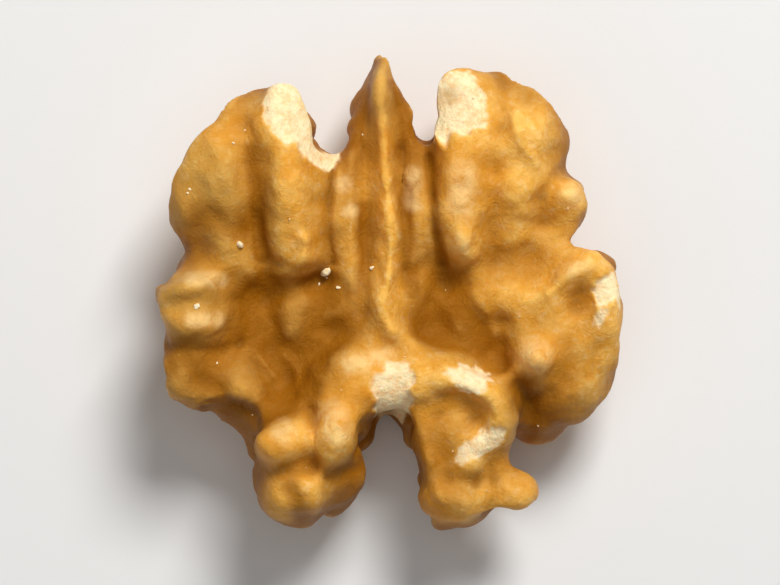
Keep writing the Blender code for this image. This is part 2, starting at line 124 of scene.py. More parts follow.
MASSES: dict[str, Mass] = {
    "core": Mass(0.0, 0.2, 8.3, -3.0, 8.8, 10.2),
    "left_floor": Mass(-8.2, -2.8, 8.8, -2.0, 5.4, 4.6),
    "left_wing": Mass(-9.9, 8.3, 11.9, 0.0, 4.5, 6.5, -35),
    "left_boss": Mass(-12.4, -0.8, 11.5, 1.0, 3.2, 3.1),
    "left_boss_upper": Mass(-12.7, 0.5, 12.1, 2.0, 2.6, 1.7),
    "left_boss_lower": Mass(-12.5, -2.0, 12.0, 2.0, 2.6, 1.5, 10),
    "left_boss_outer": Mass(-14.2, -0.4, 11.1, 2.0, 1.8, 2.4),
    "left_shoulder": Mass(-13.4, -4.9, 9.9, 1.0, 2.8, 2.6),
    "left_skirt": Mass(-9.9, -6.0, 9.4, 1.0, 3.6, 3.0),
    "left_heel": Mass(-5.9, -11.5, 11.0, 0.0, 3.5, 3.9),
    "left_heel_saddle": Mass(-5.4, -7.6, 10.7, 0.0, 2.2, 1.9),
    "left_heel_bulb": Mass(-5.9, -12.4, 11.7, 1.0, 3.4, 2.7),
    "left_heel_outer_knob": Mass(-6.9, -9.7, 13.1, 3.0, 1.9, 2.4, -54),
    "left_heel_inner_knob": Mass(-3.4, -9.0, 13.5, 3.0, 1.85, 2.5),
    "left_heel_back": Mass(-2.1, -11.6, 8.6, 2.0, 1.3, 2.1),
    "left_hollow_floor": Mass(-4.5, -2.2, 9.2, 0.0, 3.0, 3.4),
    "right_floor": Mass(5.2, -1.4, 10.0, -2.0, 4.0, 4.8),
    "right_heel": Mass(4.4, -12.2, 11.0, 0.0, 2.8, 3.3),
    "right_heel_bulb": Mass(4.5, -12.6, 11.4, 1.0, 2.9, 2.6),
    "right_heel_inside": Mass(4.3, -9.0, 11.3, 1.0, 2.6, 3.0),
    "right_wing": Mass(7.2, 10.5, 12.2, 0.0, 4.6, 5.2),
    "right_wing_bulge": Mass(9.4, 11.0, 12.2, 2.0, 2.7, 3.0, 25),
    "right_saddle": Mass(10.3, 3.4, 10.7, 0.0, 2.0, 1.9),
    "right_cheek": Mass(11.0, -3.0, 11.6, 0.0, 4.5, 6.2),
    "right_corner": Mass(13.6, 1.3, 12.2, 2.0, 2.1, 2.1),
    "right_bump": Mass(9.7, -4.2, 13.8, 2.0, 1.8, 1.9),
    "right_cheek_low": Mass(11.7, -5.6, 11.4, 1.0, 3.2, 3.2),
    "right_skirt": Mass(10.2, -7.2, 9.6, 1.0, 2.9, 2.6),
}

FOLDS: dict[str, Fold] = {
    "spine": Fold(6.0, (
        (-0.45, 15.6, 8.8, 0.8), (-0.3, 14.4, 9.2, 1.3), (-0.2, 12.4, 9.6, 1.9),
        (-0.3, 9.7, 9.8, 2.4), (-0.2, 4.9, 10.0, 2.9), (0.0, 0.1, 10.0, 3.2),
        (0.05, -3.5, 10.0, 3.4))),
    "left_column": Fold(9.0, (
        (-7.0, 12.4, 12.2, 1.7), (-6.7, 9.7, 12.8, 2.2), (-6.4, 7.3, 12.9, 2.3),
        (-6.1, 4.9, 12.6, 2.2), (-5.8, 3.2, 11.7, 1.8))),
    "left_saddle": Fold(6.0, (
        (-10.8, 3.9, 10.6, 1.4), (-9.6, 3.0, 10.5, 1.5), (-8.2, 1.6, 10.0, 1.4))),
    "left_arc": Fold(4.0, (
        (-12.3, -6.9, 9.6, 0.9), (-10.1, -6.0, 10.1, 1.0), (-8.2, -6.9, 9.6, 0.9))),
    "tongue": Fold(4.0, ((-6.9, 0.9, 9.7, 1.1), (-6.1, -0.8, 9.8, 0.9), (-6.2, -2.8, 9.4, 0.6))),
    "ledge_left": Fold(3.0, (
        (-3.5, 8.3, 10.4, 0.5), (-3.05, 6.8, 10.7, 0.6), (-2.7, 5.5, 10.8, 0.6),
        (-2.85, 3.4, 10.5, 0.7), (-2.95, 1.0, 10.1, 0.8), (-3.1, -1.1, 9.8, 0.9))),
    "ledge_right": Fold(3.0, (
        (1.75, 8.3, 10.3, 0.45), (1.85, 6.8, 10.5, 0.6), (1.75, 4.9, 10.5, 0.6),
        (1.6, 2.5, 10.2, 0.7))),
    "wedge_right": Fold(5.0, (
        (0.1, -2.1, 10.5, 0.9), (1.3, -3.1, 10.8, 1.1), (2.8, -4.1, 11.3, 1.2),
        (4.3, -5.0, 11.9, 1.3))),
    "wedge_left": Fold(5.0, (
        (-0.7, -2.3, 10.4, 1.0), (-1.9, -3.8, 10.8, 1.1), (-3.1, -4.9, 11.2, 1.2))),
    "bridge": Fold(6.0, (
        (-3.8, -5.5, 11.0, 1.3), (-2.1, -5.2, 11.6, 1.6), (0.3, -5.8, 12.1, 1.9),
        (2.5, -5.3, 12.1, 1.5), (4.9, -5.5, 12.6, 1.25), (6.8, -6.3, 12.7, 1.05),
        (7.6, -7.9, 12.6, 1.0), (7.3, -9.3, 12.3, 1.0), (6.2, -10.2, 11.9, 1.0),
        (5.2, -11.2, 11.5, 0.9))),
    "left_neck": Fold(7.0, ((-2.6, -5.9, 11.5, 1.4), (-2.9, -7.9, 12.3, 1.6))),
    "right_neck": Fold(7.0, (
        (2.7, -7.0, 10.9, 1.1), (2.4, -8.8, 11.3, 1.0), (2.6, -10.6, 11.4, 1.0))),
    "right_heel_knob": Fold(5.0, ((5.6, -12.9, 10.4, 1.5), (8.5, -12.9, 10.2, 1.45))),
    "right_heel_tip": Fold(4.0, ((4.4, -14.2, 8.6, 1.2), (5.6, -14.2, 8.4, 1.1))),
    "right_column": Fold(9.0, (
        (4.9, 13.4, 12.3, 1.9), (4.75, 9.7, 13.0, 2.05), (4.85, 7.3, 13.1, 2.15),
        (4.95, 4.9, 12.8, 2.1), (4.9, 3.1, 12.0, 1.8))),
    "right_wing_low": Fold(7.0, (
        (9.3, 9.0, 11.9, 1.4), (8.5, 6.3, 11.9, 1.6), (7.8, 4.0, 11.1, 1.6))),
    "right_side_knob": Fold(6.0, ((9.6, 5.8, 10.4, 1.2), (11.9, 6.3, 11.9, 1.6))),
    "right_rise": Fold(5.0, (
        (10.2, 0.3, 11.6, 1.1), (11.8, 1.7, 12.2, 1.2), (13.4, 2.2, 12.3, 1.1))),
    "right_edge": Fold(5.0, (
        (14.4, 0.3, 12.3, 1.2), (14.3, -1.6, 12.0, 1.25), (13.7, -3.7, 11.1, 1.3))),
    "right_brow": Fold(6.0, (
        (6.3, 0.8, 10.6, 1.5), (8.2, 0.0, 11.2, 1.7), (10.4, -0.6, 11.7, 1.7))),
}

GAPS: dict[str, Sequence[tuple[float, float, float]]] = {
    "left_of_tip": (
        (-3.3, 9.8, 0.35), (-3.55, 10.8, 0.8), (-3.7, 12.3, 1.35), (-3.8, 14.0, 1.95),
        (-4.0, 18.5, 2.9)),
    "right_of_tip": (
        (2.4, 9.9, 0.2), (2.4, 11.0, 0.35), (2.4, 12.8, 0.7), (2.1, 14.4, 1.15), (2.0, 18.5, 2.2)),
    "between_heels": (
        (0.15, -9.2, 0.95), (0.0, -10.4, 1.1), (-0.1, -12.6, 1.35), (-0.5, -14.0, 2.2),
        (-0.7, -15.2, 3.2), (-0.6, -18.5, 4.2)),
    "above_side_knob": ((11.4, 7.95, 0.25), (12.6, 8.25, 0.6), (14.6, 9.0, 1.5)),
    "below_side_knob": ((12.1, 3.7, 0.35), (13.0, 3.95, 0.65), (15.0, 4.7, 1.3)),
}

STROKES: dict[str, Stroke] = {
    "crest": Stroke(1.1, 0.58, (
        (-0.72, 14.6), (-0.55, 13.2), (-0.42, 11.6), (-0.31, 9.7), (-0.14, 6.8), (0.05, 4.4),
        (0.1, 2.5), (-0.14, 0.8), (-0.5, -0.2), (-0.35, -1.4), (0.1, -2.2))),
    "groove_left_of_crest": Stroke(-0.4, 0.55, (
        (-1.5, 9.7), (-1.35, 6.8), (-1.3, 4.0), (-1.4, 1.0), (-1.6, -1.0))),
    "groove_right_of_crest": Stroke(-0.5, 0.45, (
        (0.75, 9.7), (0.85, 6.8), (0.95, 4.0), (0.9, 1.0))),
    "right_wing_thread": Stroke(0.5, 0.45, ((8.2, 11.8), (8.6, 9.95), (9.7, 8.7))),
    "left_hook": Stroke(0.8, 0.5, ((-5.4, 3.6), (-5.6, 2.4), (-6.2, 1.6), (-7.1, 1.3))),
    "left_valley": Stroke(-0.9, 1.1, (
        (-9.6, 11.0), (-9.3, 8.8), (-9.0, 7.4), (-8.8, 5.6), (-8.4, 4.0))),
    "left_fork": Stroke(-0.35, 0.9, ((-9.6, 7.6), (-10.8, 5.8), (-12.2, 4.4))),
    "left_boss_crease": Stroke(-0.4, 0.6, ((-14.6, -0.6), (-12.6, -0.4), (-10.4, -0.3))),
    "heel_crease": Stroke(-0.8, 0.6, ((-5.0, -7.6), (-4.9, -9.4), (-5.1, -11.0))),
    "heel_fold": Stroke(-0.35, 0.5, ((-8.0, -11.3), (-6.0, -11.5), (-4.2, -11.7), (-2.6, -11.4))),
    "heel_dimple": Stroke(-0.4, 0.6, ((-6.4, -12.7), (-6.0, -13.6), (-5.8, -14.4))),
    "right_heel_pit": Stroke(-0.8, 0.8, ((4.2, -12.3), (5.5, -12.5))),
    "right_valley": Stroke(-0.4, 0.6, (
        (7.6, 14.4), (7.4, 12.0), (7.0, 9.6), (6.9, 7.4), (6.7, 4.4))),
    "side_knob_valley": Stroke(-0.6, 0.7, ((11.9, 8.4), (10.7, 7.6), (10.0, 6.4), (10.2, 5.0))),
    "right_pocket": Stroke(-0.45, 1.1, ((7.2, -1.9), (7.3, -3.0), (7.4, -4.2), (8.1, -5.8))),
    "column_bump": Stroke(0.7, 0.9, ((4.7, 3.5), (4.7, 3.3))),
    "column_foot": Stroke(-0.2, 0.8, ((2.9, 2.2), (3.6, 0.9), (5.2, 0.8), (6.6, 2.0))),
    "left_column_foot": Stroke(-0.5, 0.9, ((-8.2, 2.2), (-7.2, 0.4), (-4.6, 1.6), (-3.9, 3.2))),
    "curl_recess": Stroke(-0.3, 0.9, ((2.8, -8.0), (4.2, -8.0), (5.2, -8.7))),
    "curl_side": Stroke(-0.8, 0.6, ((8.7, -5.9), (9.1, -7.2), (9.1, -8.8), (8.8, -10.2))),
    "cheek_crease": Stroke(-0.35, 0.8, ((9.6, -1.0), (11.3, -3.4), (11.2, -6.0), (9.4, -7.2))),
}

FINE_STROKES: dict[str, Stroke] = {
    "column_left_edge": Stroke(-0.45, 0.35, (
        (-3.75, 8.4), (-3.95, 6.0), (-3.9, 3.8), (-3.7, 2.2))),
    "column_right_edge": Stroke(-0.3, 0.35, ((2.65, 9.2), (2.85, 6.8), (3.05, 4.4), (3.5, 2.2))),
    "tip_line_left": Stroke(-0.15, 0.28, ((-1.15, 14.4), (-1.6, 11.6), (-1.9, 9.0), (-2.1, 6.0))),
    "tip_edge_left": Stroke(0.12, 0.3, ((-1.5, 14.2), (-2.15, 12.0), (-2.5, 9.8), (-2.6, 8.2))),
    "tip_line_right": Stroke(-0.12, 0.25, ((0.1, 14.0), (0.6, 11.8), (0.9, 9.4), (1.1, 7.0))),
    "tip_edge_right": Stroke(0.1, 0.28, ((0.5, 13.8), (1.1, 12.0), (1.45, 10.2))),
    "boss_cleft": Stroke(-0.2, 0.4, ((-14.9, -3.1), (-13.3, -3.4), (-11.2, -3.5), (-9.8, -3.2))),
    "shoulder_ridge": Stroke(0.2, 0.45, ((-15.0, -4.6), (-14.3, -5.7), (-12.9, -6.6))),
    "shoulder_groove": Stroke(-0.2, 0.5, ((-13.2, -4.0), (-12.5, -5.3), (-11.3, -6.1))),
    "skirt_groove": Stroke(-0.35, 0.35, ((-12.2, -7.4), (-10.6, -7.0), (-9.0, -7.6))),
    "tongue_left": Stroke(-0.3, 0.8, ((-7.8, 0.4), (-7.9, -1.4), (-7.4, -3.2))),
    "deep_left": Stroke(-0.4, 1.2, ((-4.4, 0.2), (-4.2, -1.6), (-3.8, -2.9), (-4.6, -3.9))),
    "column_bump_top": Stroke(0.25, 0.6, ((4.7, 3.5), (4.7, 3.3))),
    "crest_foot": Stroke(0.35, 0.8, ((0.5, 0.8), (0.5, -0.8), (0.9, -2.0), (1.6, -3.2))),
    "rise_ridge": Stroke(0.3, 0.4, ((10.4, 0.2), (11.7, 1.3), (13.2, 1.9))),
    "brow_streak": Stroke(0.25, 0.4, ((5.6, 0.2), (6.4, -1.0), (6.9, -2.3))),
    "slope_streak": Stroke(-0.15, 0.5, ((2.6, -0.4), (3.6, -2.0), (5.0, -3.6))),
    "bump_crease": Stroke(-0.25, 0.6, ((7.6, -3.2), (7.6, -4.6), (8.2, -6.1), (9.4, -6.6))),
    "heel_neck": Stroke(-0.3, 0.5, ((6.6, -11.2), (6.9, -12.6), (6.6, -14.2))),
    "heel_streak": Stroke(-0.2, 0.3, ((-4.0, -12.0), (-4.2, -13.4), (-4.6, -14.6))),
    "hollow_streak_low": Stroke(0.2, 0.35, ((-9.4, -3.4), (-8.2, -4.4), (-7.2, -5.8))),
    "hollow_streak_high": Stroke(0.18, 0.3, ((-6.9, -3.9), (-6.0, -4.9), (-5.9, -6.2))),
    "hollow_dent": Stroke(-0.2, 0.5, ((-10.2, -2.6), (-9.0, -3.9), (-8.4, -5.4))),
    "wing_dent": Stroke(-0.25, 0.7, ((-13.6, 7.6), (-12.8, 6.6), (-12.6, 5.4))),
    "wing_dent_low": Stroke(-0.2, 0.5, ((-11.6, 5.6), (-10.6, 4.6), (-9.6, 4.4))),
    "chip_ring": Stroke(-0.2, 0.45, ((3.9, 13.3), (4.1, 13.2))),
    "wing_wave": Stroke(-0.15, 0.6, ((-12.6, 9.6), (-11.4, 8.2), (-10.8, 6.6))),
    "bulge_wave": Stroke(-0.12, 0.5, ((9.3, 12.9), (9.6, 11.4), (10.6, 10.0))),
}

CHIPS: dict[str, Chip] = {
    "left_wing": Chip((
        (-8.4, 12.8), (-8.5, 11.8), (-7.9, 10.5), (-6.5, 10.1), (-5.7, 9.1), (-5.0, 8.4),
        (-3.6, 8.1), (-3.2, 9.5), (-4.1, 10.4), (-4.7, 11.3), (-4.9, 12.6), (-5.8, 14.0),
        (-7.0, 14.6), (-8.0, 14.2)), 0.3, 0.7),
    "right_wing": Chip((
        (2.9, 10.4), (2.8, 12.1), (2.9, 13.8), (4.0, 15.2), (5.2, 14.9), (5.9, 14.0), (6.4, 13.3),
        (6.3, 11.1), (4.3, 10.6), (3.4, 9.9)), 0.3, 0.7),
    "bridge_middle": Chip((
        (-0.9, -5.6), (-0.2, -4.6), (1.2, -4.6), (1.7, -5.8), (1.5, -7.4), (0.9, -8.6),
        (-0.9, -8.4), (-1.2, -7.0)), 0.12, 0.3, 0.8),
    "bridge_right": Chip((
        (3.9, -5.5), (4.6, -4.8), (5.9, -4.9), (6.8, -5.7), (6.2, -6.5), (4.6, -6.5)), 0.2, 0.5),
    "curl_foot": Chip((
        (6.8, -8.9), (7.6, -9.0), (7.4, -10.2), (6.2, -10.8), (5.0, -11.6), (4.2, -11.2),
        (5.0, -10.2), (6.0, -9.4)), 0.12, 0.3, 0.8),
    "right_edge_upper": Chip((
        (13.5, 0.3), (14.0, 1.2), (15.2, 1.3), (15.8, 0.2), (15.4, -0.8), (14.1, -0.8)), 0.3, 0.7),
    "right_edge_lower": Chip((
        (13.8, -1.2), (14.5, -1.0), (14.9, -1.7), (14.3, -2.2), (13.7, -1.9)), 0.1, 0.3),
}

# The largest crumbs that lie on the inner face: x, y, radius
CRUMB_SPOTS: Sequence[tuple[float, float, float]] = (
    (-4.3, 1.4, 0.46), (-10.1, 3.1, 0.36), (-1.2, 1.7, 0.20), (-12.9, -1.0, 0.24),
    (-3.6, 0.4, 0.15),
)


class Tone(Enum):
    """How a patch changes the skin. The dull patches give the skin's own duller tone, the dark
    patches are painted shade beside one real ring mark, and the pale patches are painted
    highlights beside lighter skin on the ledges.
    """

    DULL = "dull"
    # the dark patches: painted shade in hollows, creases and at the feet of lobes
    DARK = "dark"
    # the pale patches: painted highlights on knobs, bumps and tops, and lighter ledge skin
    PALE = "pale"


@dataclass(frozen=True)
class StainOrPaintedLight:
    """A patch or band of another tone on the inner face: its reach round a line or a spot.
    By its tone it is the skin's own duller tone, painted shade or a painted highlight.
    """

    reach: float
    line: Line


STAINS_AND_PAINTED_LIGHT: dict[Tone, dict[str, StainOrPaintedLight]] = {
    Tone.DULL: {
        "left_wing": StainOrPaintedLight(6.0, ((-12.0, 6.0),)),
        "left_boss_foot": StainOrPaintedLight(4.0, ((-13.5, -4.5),)),
        "left_hollow": StainOrPaintedLight(6.0, ((-8.0, -4.0),)),
        "cheek_foot_dull": StainOrPaintedLight(3.5, ((9.5, -8.5),)),
        "tip": StainOrPaintedLight(2.0, ((-0.6, 15.2), (-0.5, 12.6))),
        "tip_dull": StainOrPaintedLight(2.2, ((-1.6, 13.4), (-2.0, 11.4), (-2.2, 9.6))),
        "tip_dull_right": StainOrPaintedLight(1.6, ((0.6, 13.4), (1.2, 11.4), (1.4, 8.0))),
        "shoulder_dull": StainOrPaintedLight(3.0, ((-14.0, -4.6), (-12.4, -5.8))),
        "boss": StainOrPaintedLight(2.6, ((-14.2, 0.2), (-11.2, -0.2))),
        "tongue": StainOrPaintedLight(1.8, ((-6.0, -0.2), (-6.1, -2.6))),
    },
    # Painted shade: darker patches in hollows, creases, pits and at the feet of lobes and heels.
    Tone.DARK: {
        "right_slope": StainOrPaintedLight(4.2, ((3.8, -1.8),)),
        "left_hollow_floor": StainOrPaintedLight(3.6, ((-4.2, -3.0), (-3.0, -1.8))),
        "left_hollow_side": StainOrPaintedLight(2.2, ((-8.6, 0.2), (-8.4, -2.2), (-6.6, -4.6))),
        "neck_groove": StainOrPaintedLight(1.5, ((-4.6, -4.6), (-5.8, -6.8), (-8.6, -8.4))),
        "cheek_foot": StainOrPaintedLight(1.8, ((8.8, -6.4), (9.2, -8.2), (10.2, -9.6))),
        "heel_pit": StainOrPaintedLight(1.2, ((4.2, -12.4), (5.6, -12.5))),
        "tip_left": StainOrPaintedLight(0.7, ((-1.6, 14.4), (-2.1, 12.4), (-2.4, 10.4))),
        "tip_right": StainOrPaintedLight(0.7, ((0.3, 14.0), (1.0, 12.4), (1.3, 10.6))),
        "plate_left": StainOrPaintedLight(1.0, ((-1.7, 5.6), (-1.7, 2.0), (-2.0, -0.6))),
        "plate_right": StainOrPaintedLight(1.0, ((1.1, 6.0), (1.3, 2.0), (1.6, 0.0))),
        "column_edge": StainOrPaintedLight(0.6, ((2.7, 9.0), (3.0, 5.0), (3.6, 2.0))),
        "left_column_crease": StainOrPaintedLight(0.9, ((-9.2, 9.6), (-8.9, 6.0), (-8.6, 2.6))),
        # A real brown ring mark on the flesh of a chip, not shade.
        "chip_ring": StainOrPaintedLight(1.0, ((4.0, 13.2),)),
        "spine_foot": StainOrPaintedLight(2.0, ((-2.4, -0.4), (-2.6, -2.0), (-3.6, -3.4))),
        "wing_foot": StainOrPaintedLight(1.8, ((-12.6, 5.2), (-10.4, 4.4))),
        "heel_foot": StainOrPaintedLight(1.2, ((-7.0, -12.2), (-6.2, -13.8), (-5.9, -14.6))),
        "right_heel_front": StainOrPaintedLight(2.6, ((3.2, -9.6), (3.4, -11.6), (4.2, -13.2))),
        "shoulder": StainOrPaintedLight(2.9, ((-14.2, -4.2), (-13.4, -5.6), (-11.8, -6.6))),
    },
    # Painted highlights on knobs, bumps, columns and tops; the ledge patches are lighter skin.
    Tone.PALE: {
        "left_ledge_top": StainOrPaintedLight(0.9, ((-3.1, 7.3),)),
        "left_ledge_middle": StainOrPaintedLight(0.8, ((-2.7, 5.5),)),
        "right_ledge": StainOrPaintedLight(0.8, ((1.6, 8.0), (1.6, 6.0))),
        "column_bump": StainOrPaintedLight(1.0, ((4.7, 3.4),)),
        "right_column": StainOrPaintedLight(1.4, ((4.9, 8.0), (4.8, 5.8))),
        "boss_top": StainOrPaintedLight(0.8, ((-13.2, 0.9), (-11.4, 0.9))),
        "boss_middle": StainOrPaintedLight(0.8, ((-13.2, -1.8), (-11.6, -1.8))),
        "cheek_bump": StainOrPaintedLight(1.7, ((9.7, -4.2),)),
        "wedge": StainOrPaintedLight(1.0, ((-2.6, -4.8), (-0.2, -4.3))),
        "rise": StainOrPaintedLight(0.7, ((11.3, 1.1), (13.2, 2.0))),
        "heel_knob_inner": StainOrPaintedLight(1.5, ((-3.9, -8.2), (-3.6, -9.4))),
        "heel_knob_outer": StainOrPaintedLight(1.2, ((-7.1, -9.3),)),
        "side_knob": StainOrPaintedLight(1.3, ((12.2, 6.6),)),
    },
}


def smooth_path(points: Iterable[Numbers], step: float) -> np.ndarray:
    """Points along a curve through the given ones.

    Args:
        points: Rows whose first two numbers are x and y.
        step: Distance between the points that come back, about.

    Returns:
        Rows with as many numbers as the given ones.
    """
    knots = np.array(points, float)
    if len(knots) == 2:
        knots = np.array([knots[0], knots.mean(axis=0), knots[1]])
    knots = np.vstack([2 * knots[0] - knots[1], knots, 2 * knots[-1] - knots[-2]])
    path = []
    for before, start, end, after in zip(knots, knots[1:], knots[2:], knots[3:]):
        count = max(2, int(np.linalg.norm((end - start)[:2]) / step))
        for t in np.linspace(0.0, 1.0, count, endpoint=False):
            bend = 2 * before - 5 * start + 4 * end - after
            twist = 3 * start - before - 3 * end + after
            path.append(start + 0.5 * ((end - before) * t + bend * t ** 2 + twist * t ** 3))
    path.append(knots[-2])
    return np.array(path)


def smoothstep(values: np.ndarray, low: float, high: float) -> np.ndarray:
    """An even rise from 0 at low to 1 at high.

    Args:
        values: What is compared.
        low: Where the rise starts.
        high: Where it ends; it may be below low, and the rise is then a fall.

    Returns:
        Numbers from 0 to 1.
    """
    t = np.clip((values - low) / (high - low), 0.0, 1.0)
    return t * t * (3.0 - 2.0 * t)


def waves(points: np.ndarray, length: float, count: int, seed: int) -> np.ndarray:
    """Noise summed from seeded plane waves.

    Args:
        points: Where it is read.
        length: The waves' length, about.
        count: How many waves are summed.
        seed: Fixes the draw.

    Returns:
        One number a point, nearly all within -1 to 1.
    """
    rng = np.random.default_rng(seed)
    heading = rng.normal(size=(count, 3))
    heading /= np.linalg.norm(heading, axis=1)[:, None]
    pitch = 2 * math.pi / (length * rng.uniform(0.8, 1.3, count))
    phase = rng.uniform(0, 2 * math.pi, count)
    total = np.cos(points @ (heading * pitch[:, None]).T + phase).sum(axis=1)
    return total / (1.6 * math.sqrt(count / 2))


@dataclass(frozen=True)
class Ripple:
    """One layer of noise on a mesh: its height, its waves' length and number, and its seed."""

    height: float
    length: float
    count: int
    seed: int

    def at(self, points: np.ndarray, shift: int = 0) -> np.ndarray:
        """The layer's height at each point, from its seed or one further on."""
        return self.height * waves(points, self.length, self.count, self.seed + shift)


def distance_to_path(spots: np.ndarray, path: np.ndarray) -> np.ndarray:
    """Distance in plan from spots to a drawn line.

    Args:
        spots: Rows of x and y.
        path: The line's points.

    Returns:
        One distance a spot.
    """
    nearest = np.full(len(spots), np.inf)
    for start, end in zip(path, path[1:]):
        run = end - start
        t = np.clip((spots - start) @ run / max(run @ run, 1e-9), 0.0, 1.0)
        nearest = np.minimum(nearest, np.linalg.norm(spots - start - t[:, None] * run, axis=1))
    return nearest


def depth_inside(spots: np.ndarray, outline: Line) -> np.ndarray:
    """How far inside a closed outline each spot lies.

    Args:
        spots: Rows of x and y.
        outline: The outline's corners in order.

    Returns:
        Distances to the outline, negative outside it.
    """
    corners = np.array([*outline, outline[0]], float)
    inside = np.zeros(len(spots), bool)
    for (x0, y0), (x1, y1) in zip(corners, corners[1:]):
        if y0 != y1:
            crosses = (y0 > spots[:, 1]) != (y1 > spots[:, 1])
            inside ^= crosses & (spots[:, 0] < x0 + (spots[:, 1] - y0) * (x1 - x0) / (y1 - y0))
    return distance_to_path(spots, corners) * np.where(inside, 1.0, -1.0)


class Skin:
    """A mesh object that is shaped by moving its vertices as one array."""

    def __init__(self, name: str, bm: bmesh.types.BMesh) -> None:
        """Puts the bmesh into the scene as an object.

        Args:
            name: The object's name.
            bm: Its mesh, which is freed.
        """
        mesh = bpy.data.meshes.new(name)
        bm.to_mesh(mesh)
        bm.free()
        self.ob = bpy.data.objects.new(name, mesh)
        bpy.context.scene.collection.objects.link(self.ob)

    def _read(self, values: Any, key: str) -> np.ndarray:
        """Reads three numbers an element.

        Args:
            values: A collection of the mesh.
            key: The property that is read.

        Returns:
            Rows of three numbers.
        """
        flat = np.empty(len(values) * 3, np.float32)
        values.foreach_get(key, flat)
        return flat.reshape(-1, 3).astype(float)

    def points(self) -> np.ndarray:
        """The vertex positions."""
        return self._read(self.ob.data.vertices, "co")

    def normals(self) -> np.ndarray:
        """The vertex normals."""
        return self._read(self.ob.data.vertex_normals, "vector")

    def move(self, points: np.ndarray) -> None:
        """Puts the vertices at the given positions."""
        self.ob.data.vertices.foreach_set("co", points.astype(np.float32).ravel())
        self.ob.data.update()

    def store(self, name: str, values: np.ndarray) -> None:
        """Keeps a number for each vertex under a name that materials can read."""
        attribute = self.ob.data.attributes.new(name, "FLOAT", "POINT")
        attribute.data.foreach_set("value", values.astype(np.float32))

    def bake(self, kind: str, **values: Any) -> None:
        """Applies a modifier.

        Args:
            kind: The modifier's type.
            **values: Its settings.
        """
        modifier = self.ob.modifiers.new(kind.title(), kind)
        for name, value in values.items():
            setattr(modifier, name, value)
        self.take_evaluated()

    def take_evaluated(self) -> None:
        """Makes the evaluated mesh the object's own and removes its modifiers."""
        depsgraph = bpy.context.evaluated_depsgraph_get()
        shown = self.ob.evaluated_get(depsgraph)
        mesh = bpy.data.meshes.new_from_object(shown, depsgraph=depsgraph)
        self.ob.modifiers.clear()
        used = self.ob.data
        self.ob.data = mesh
        bpy.data.meshes.remove(used)

    def to_metres(self) -> None:
        """Brings the finished mesh from millimetres to metres and smooths its shading."""
        self.ob.data.transform(Matrix.Diagonal((METRES, METRES, METRES, 1.0)))
        self.ob.data.shade_smooth()

    def melt(self, grain: float, rounds: int) -> None:
        """Joins everything in the mesh into one skin and evens it out.

        Args:
            grain: The edge of the voxels.
            rounds: How often it is smoothed.
        """
        self.bake("REMESH", mode="VOXEL", voxel_size=grain)
        self.bake("SMOOTH", factor=0.5, iterations=rounds)

    def cut(self, guide: "Skin", operation: str) -> None:
        """Applies a Boolean with a guide, which is then removed.

        Args:
            guide: What it is cut with.
            operation: INTERSECT or DIFFERENCE.
        """
        self.bake("BOOLEAN", object=guide.ob, operation=operation, solver="EXACT")
        bpy.data.objects.remove(guide.ob)

    def smoothed(self, rounds: int) -> np.ndarray:
        """Finds where smoothing would bring the vertices, and leaves the mesh as it is.

        Args:
            rounds: How often it is smoothed.

        Returns:
            The smoothed positions.
        """
        kept = self.ob.data
        self.ob.data = kept.copy()
        self.bake("SMOOTH", factor=0.5, iterations=rounds)
        points = self.points()
        used = self.ob.data
        self.ob.data = kept
        bpy.data.meshes.remove(used)
        return points


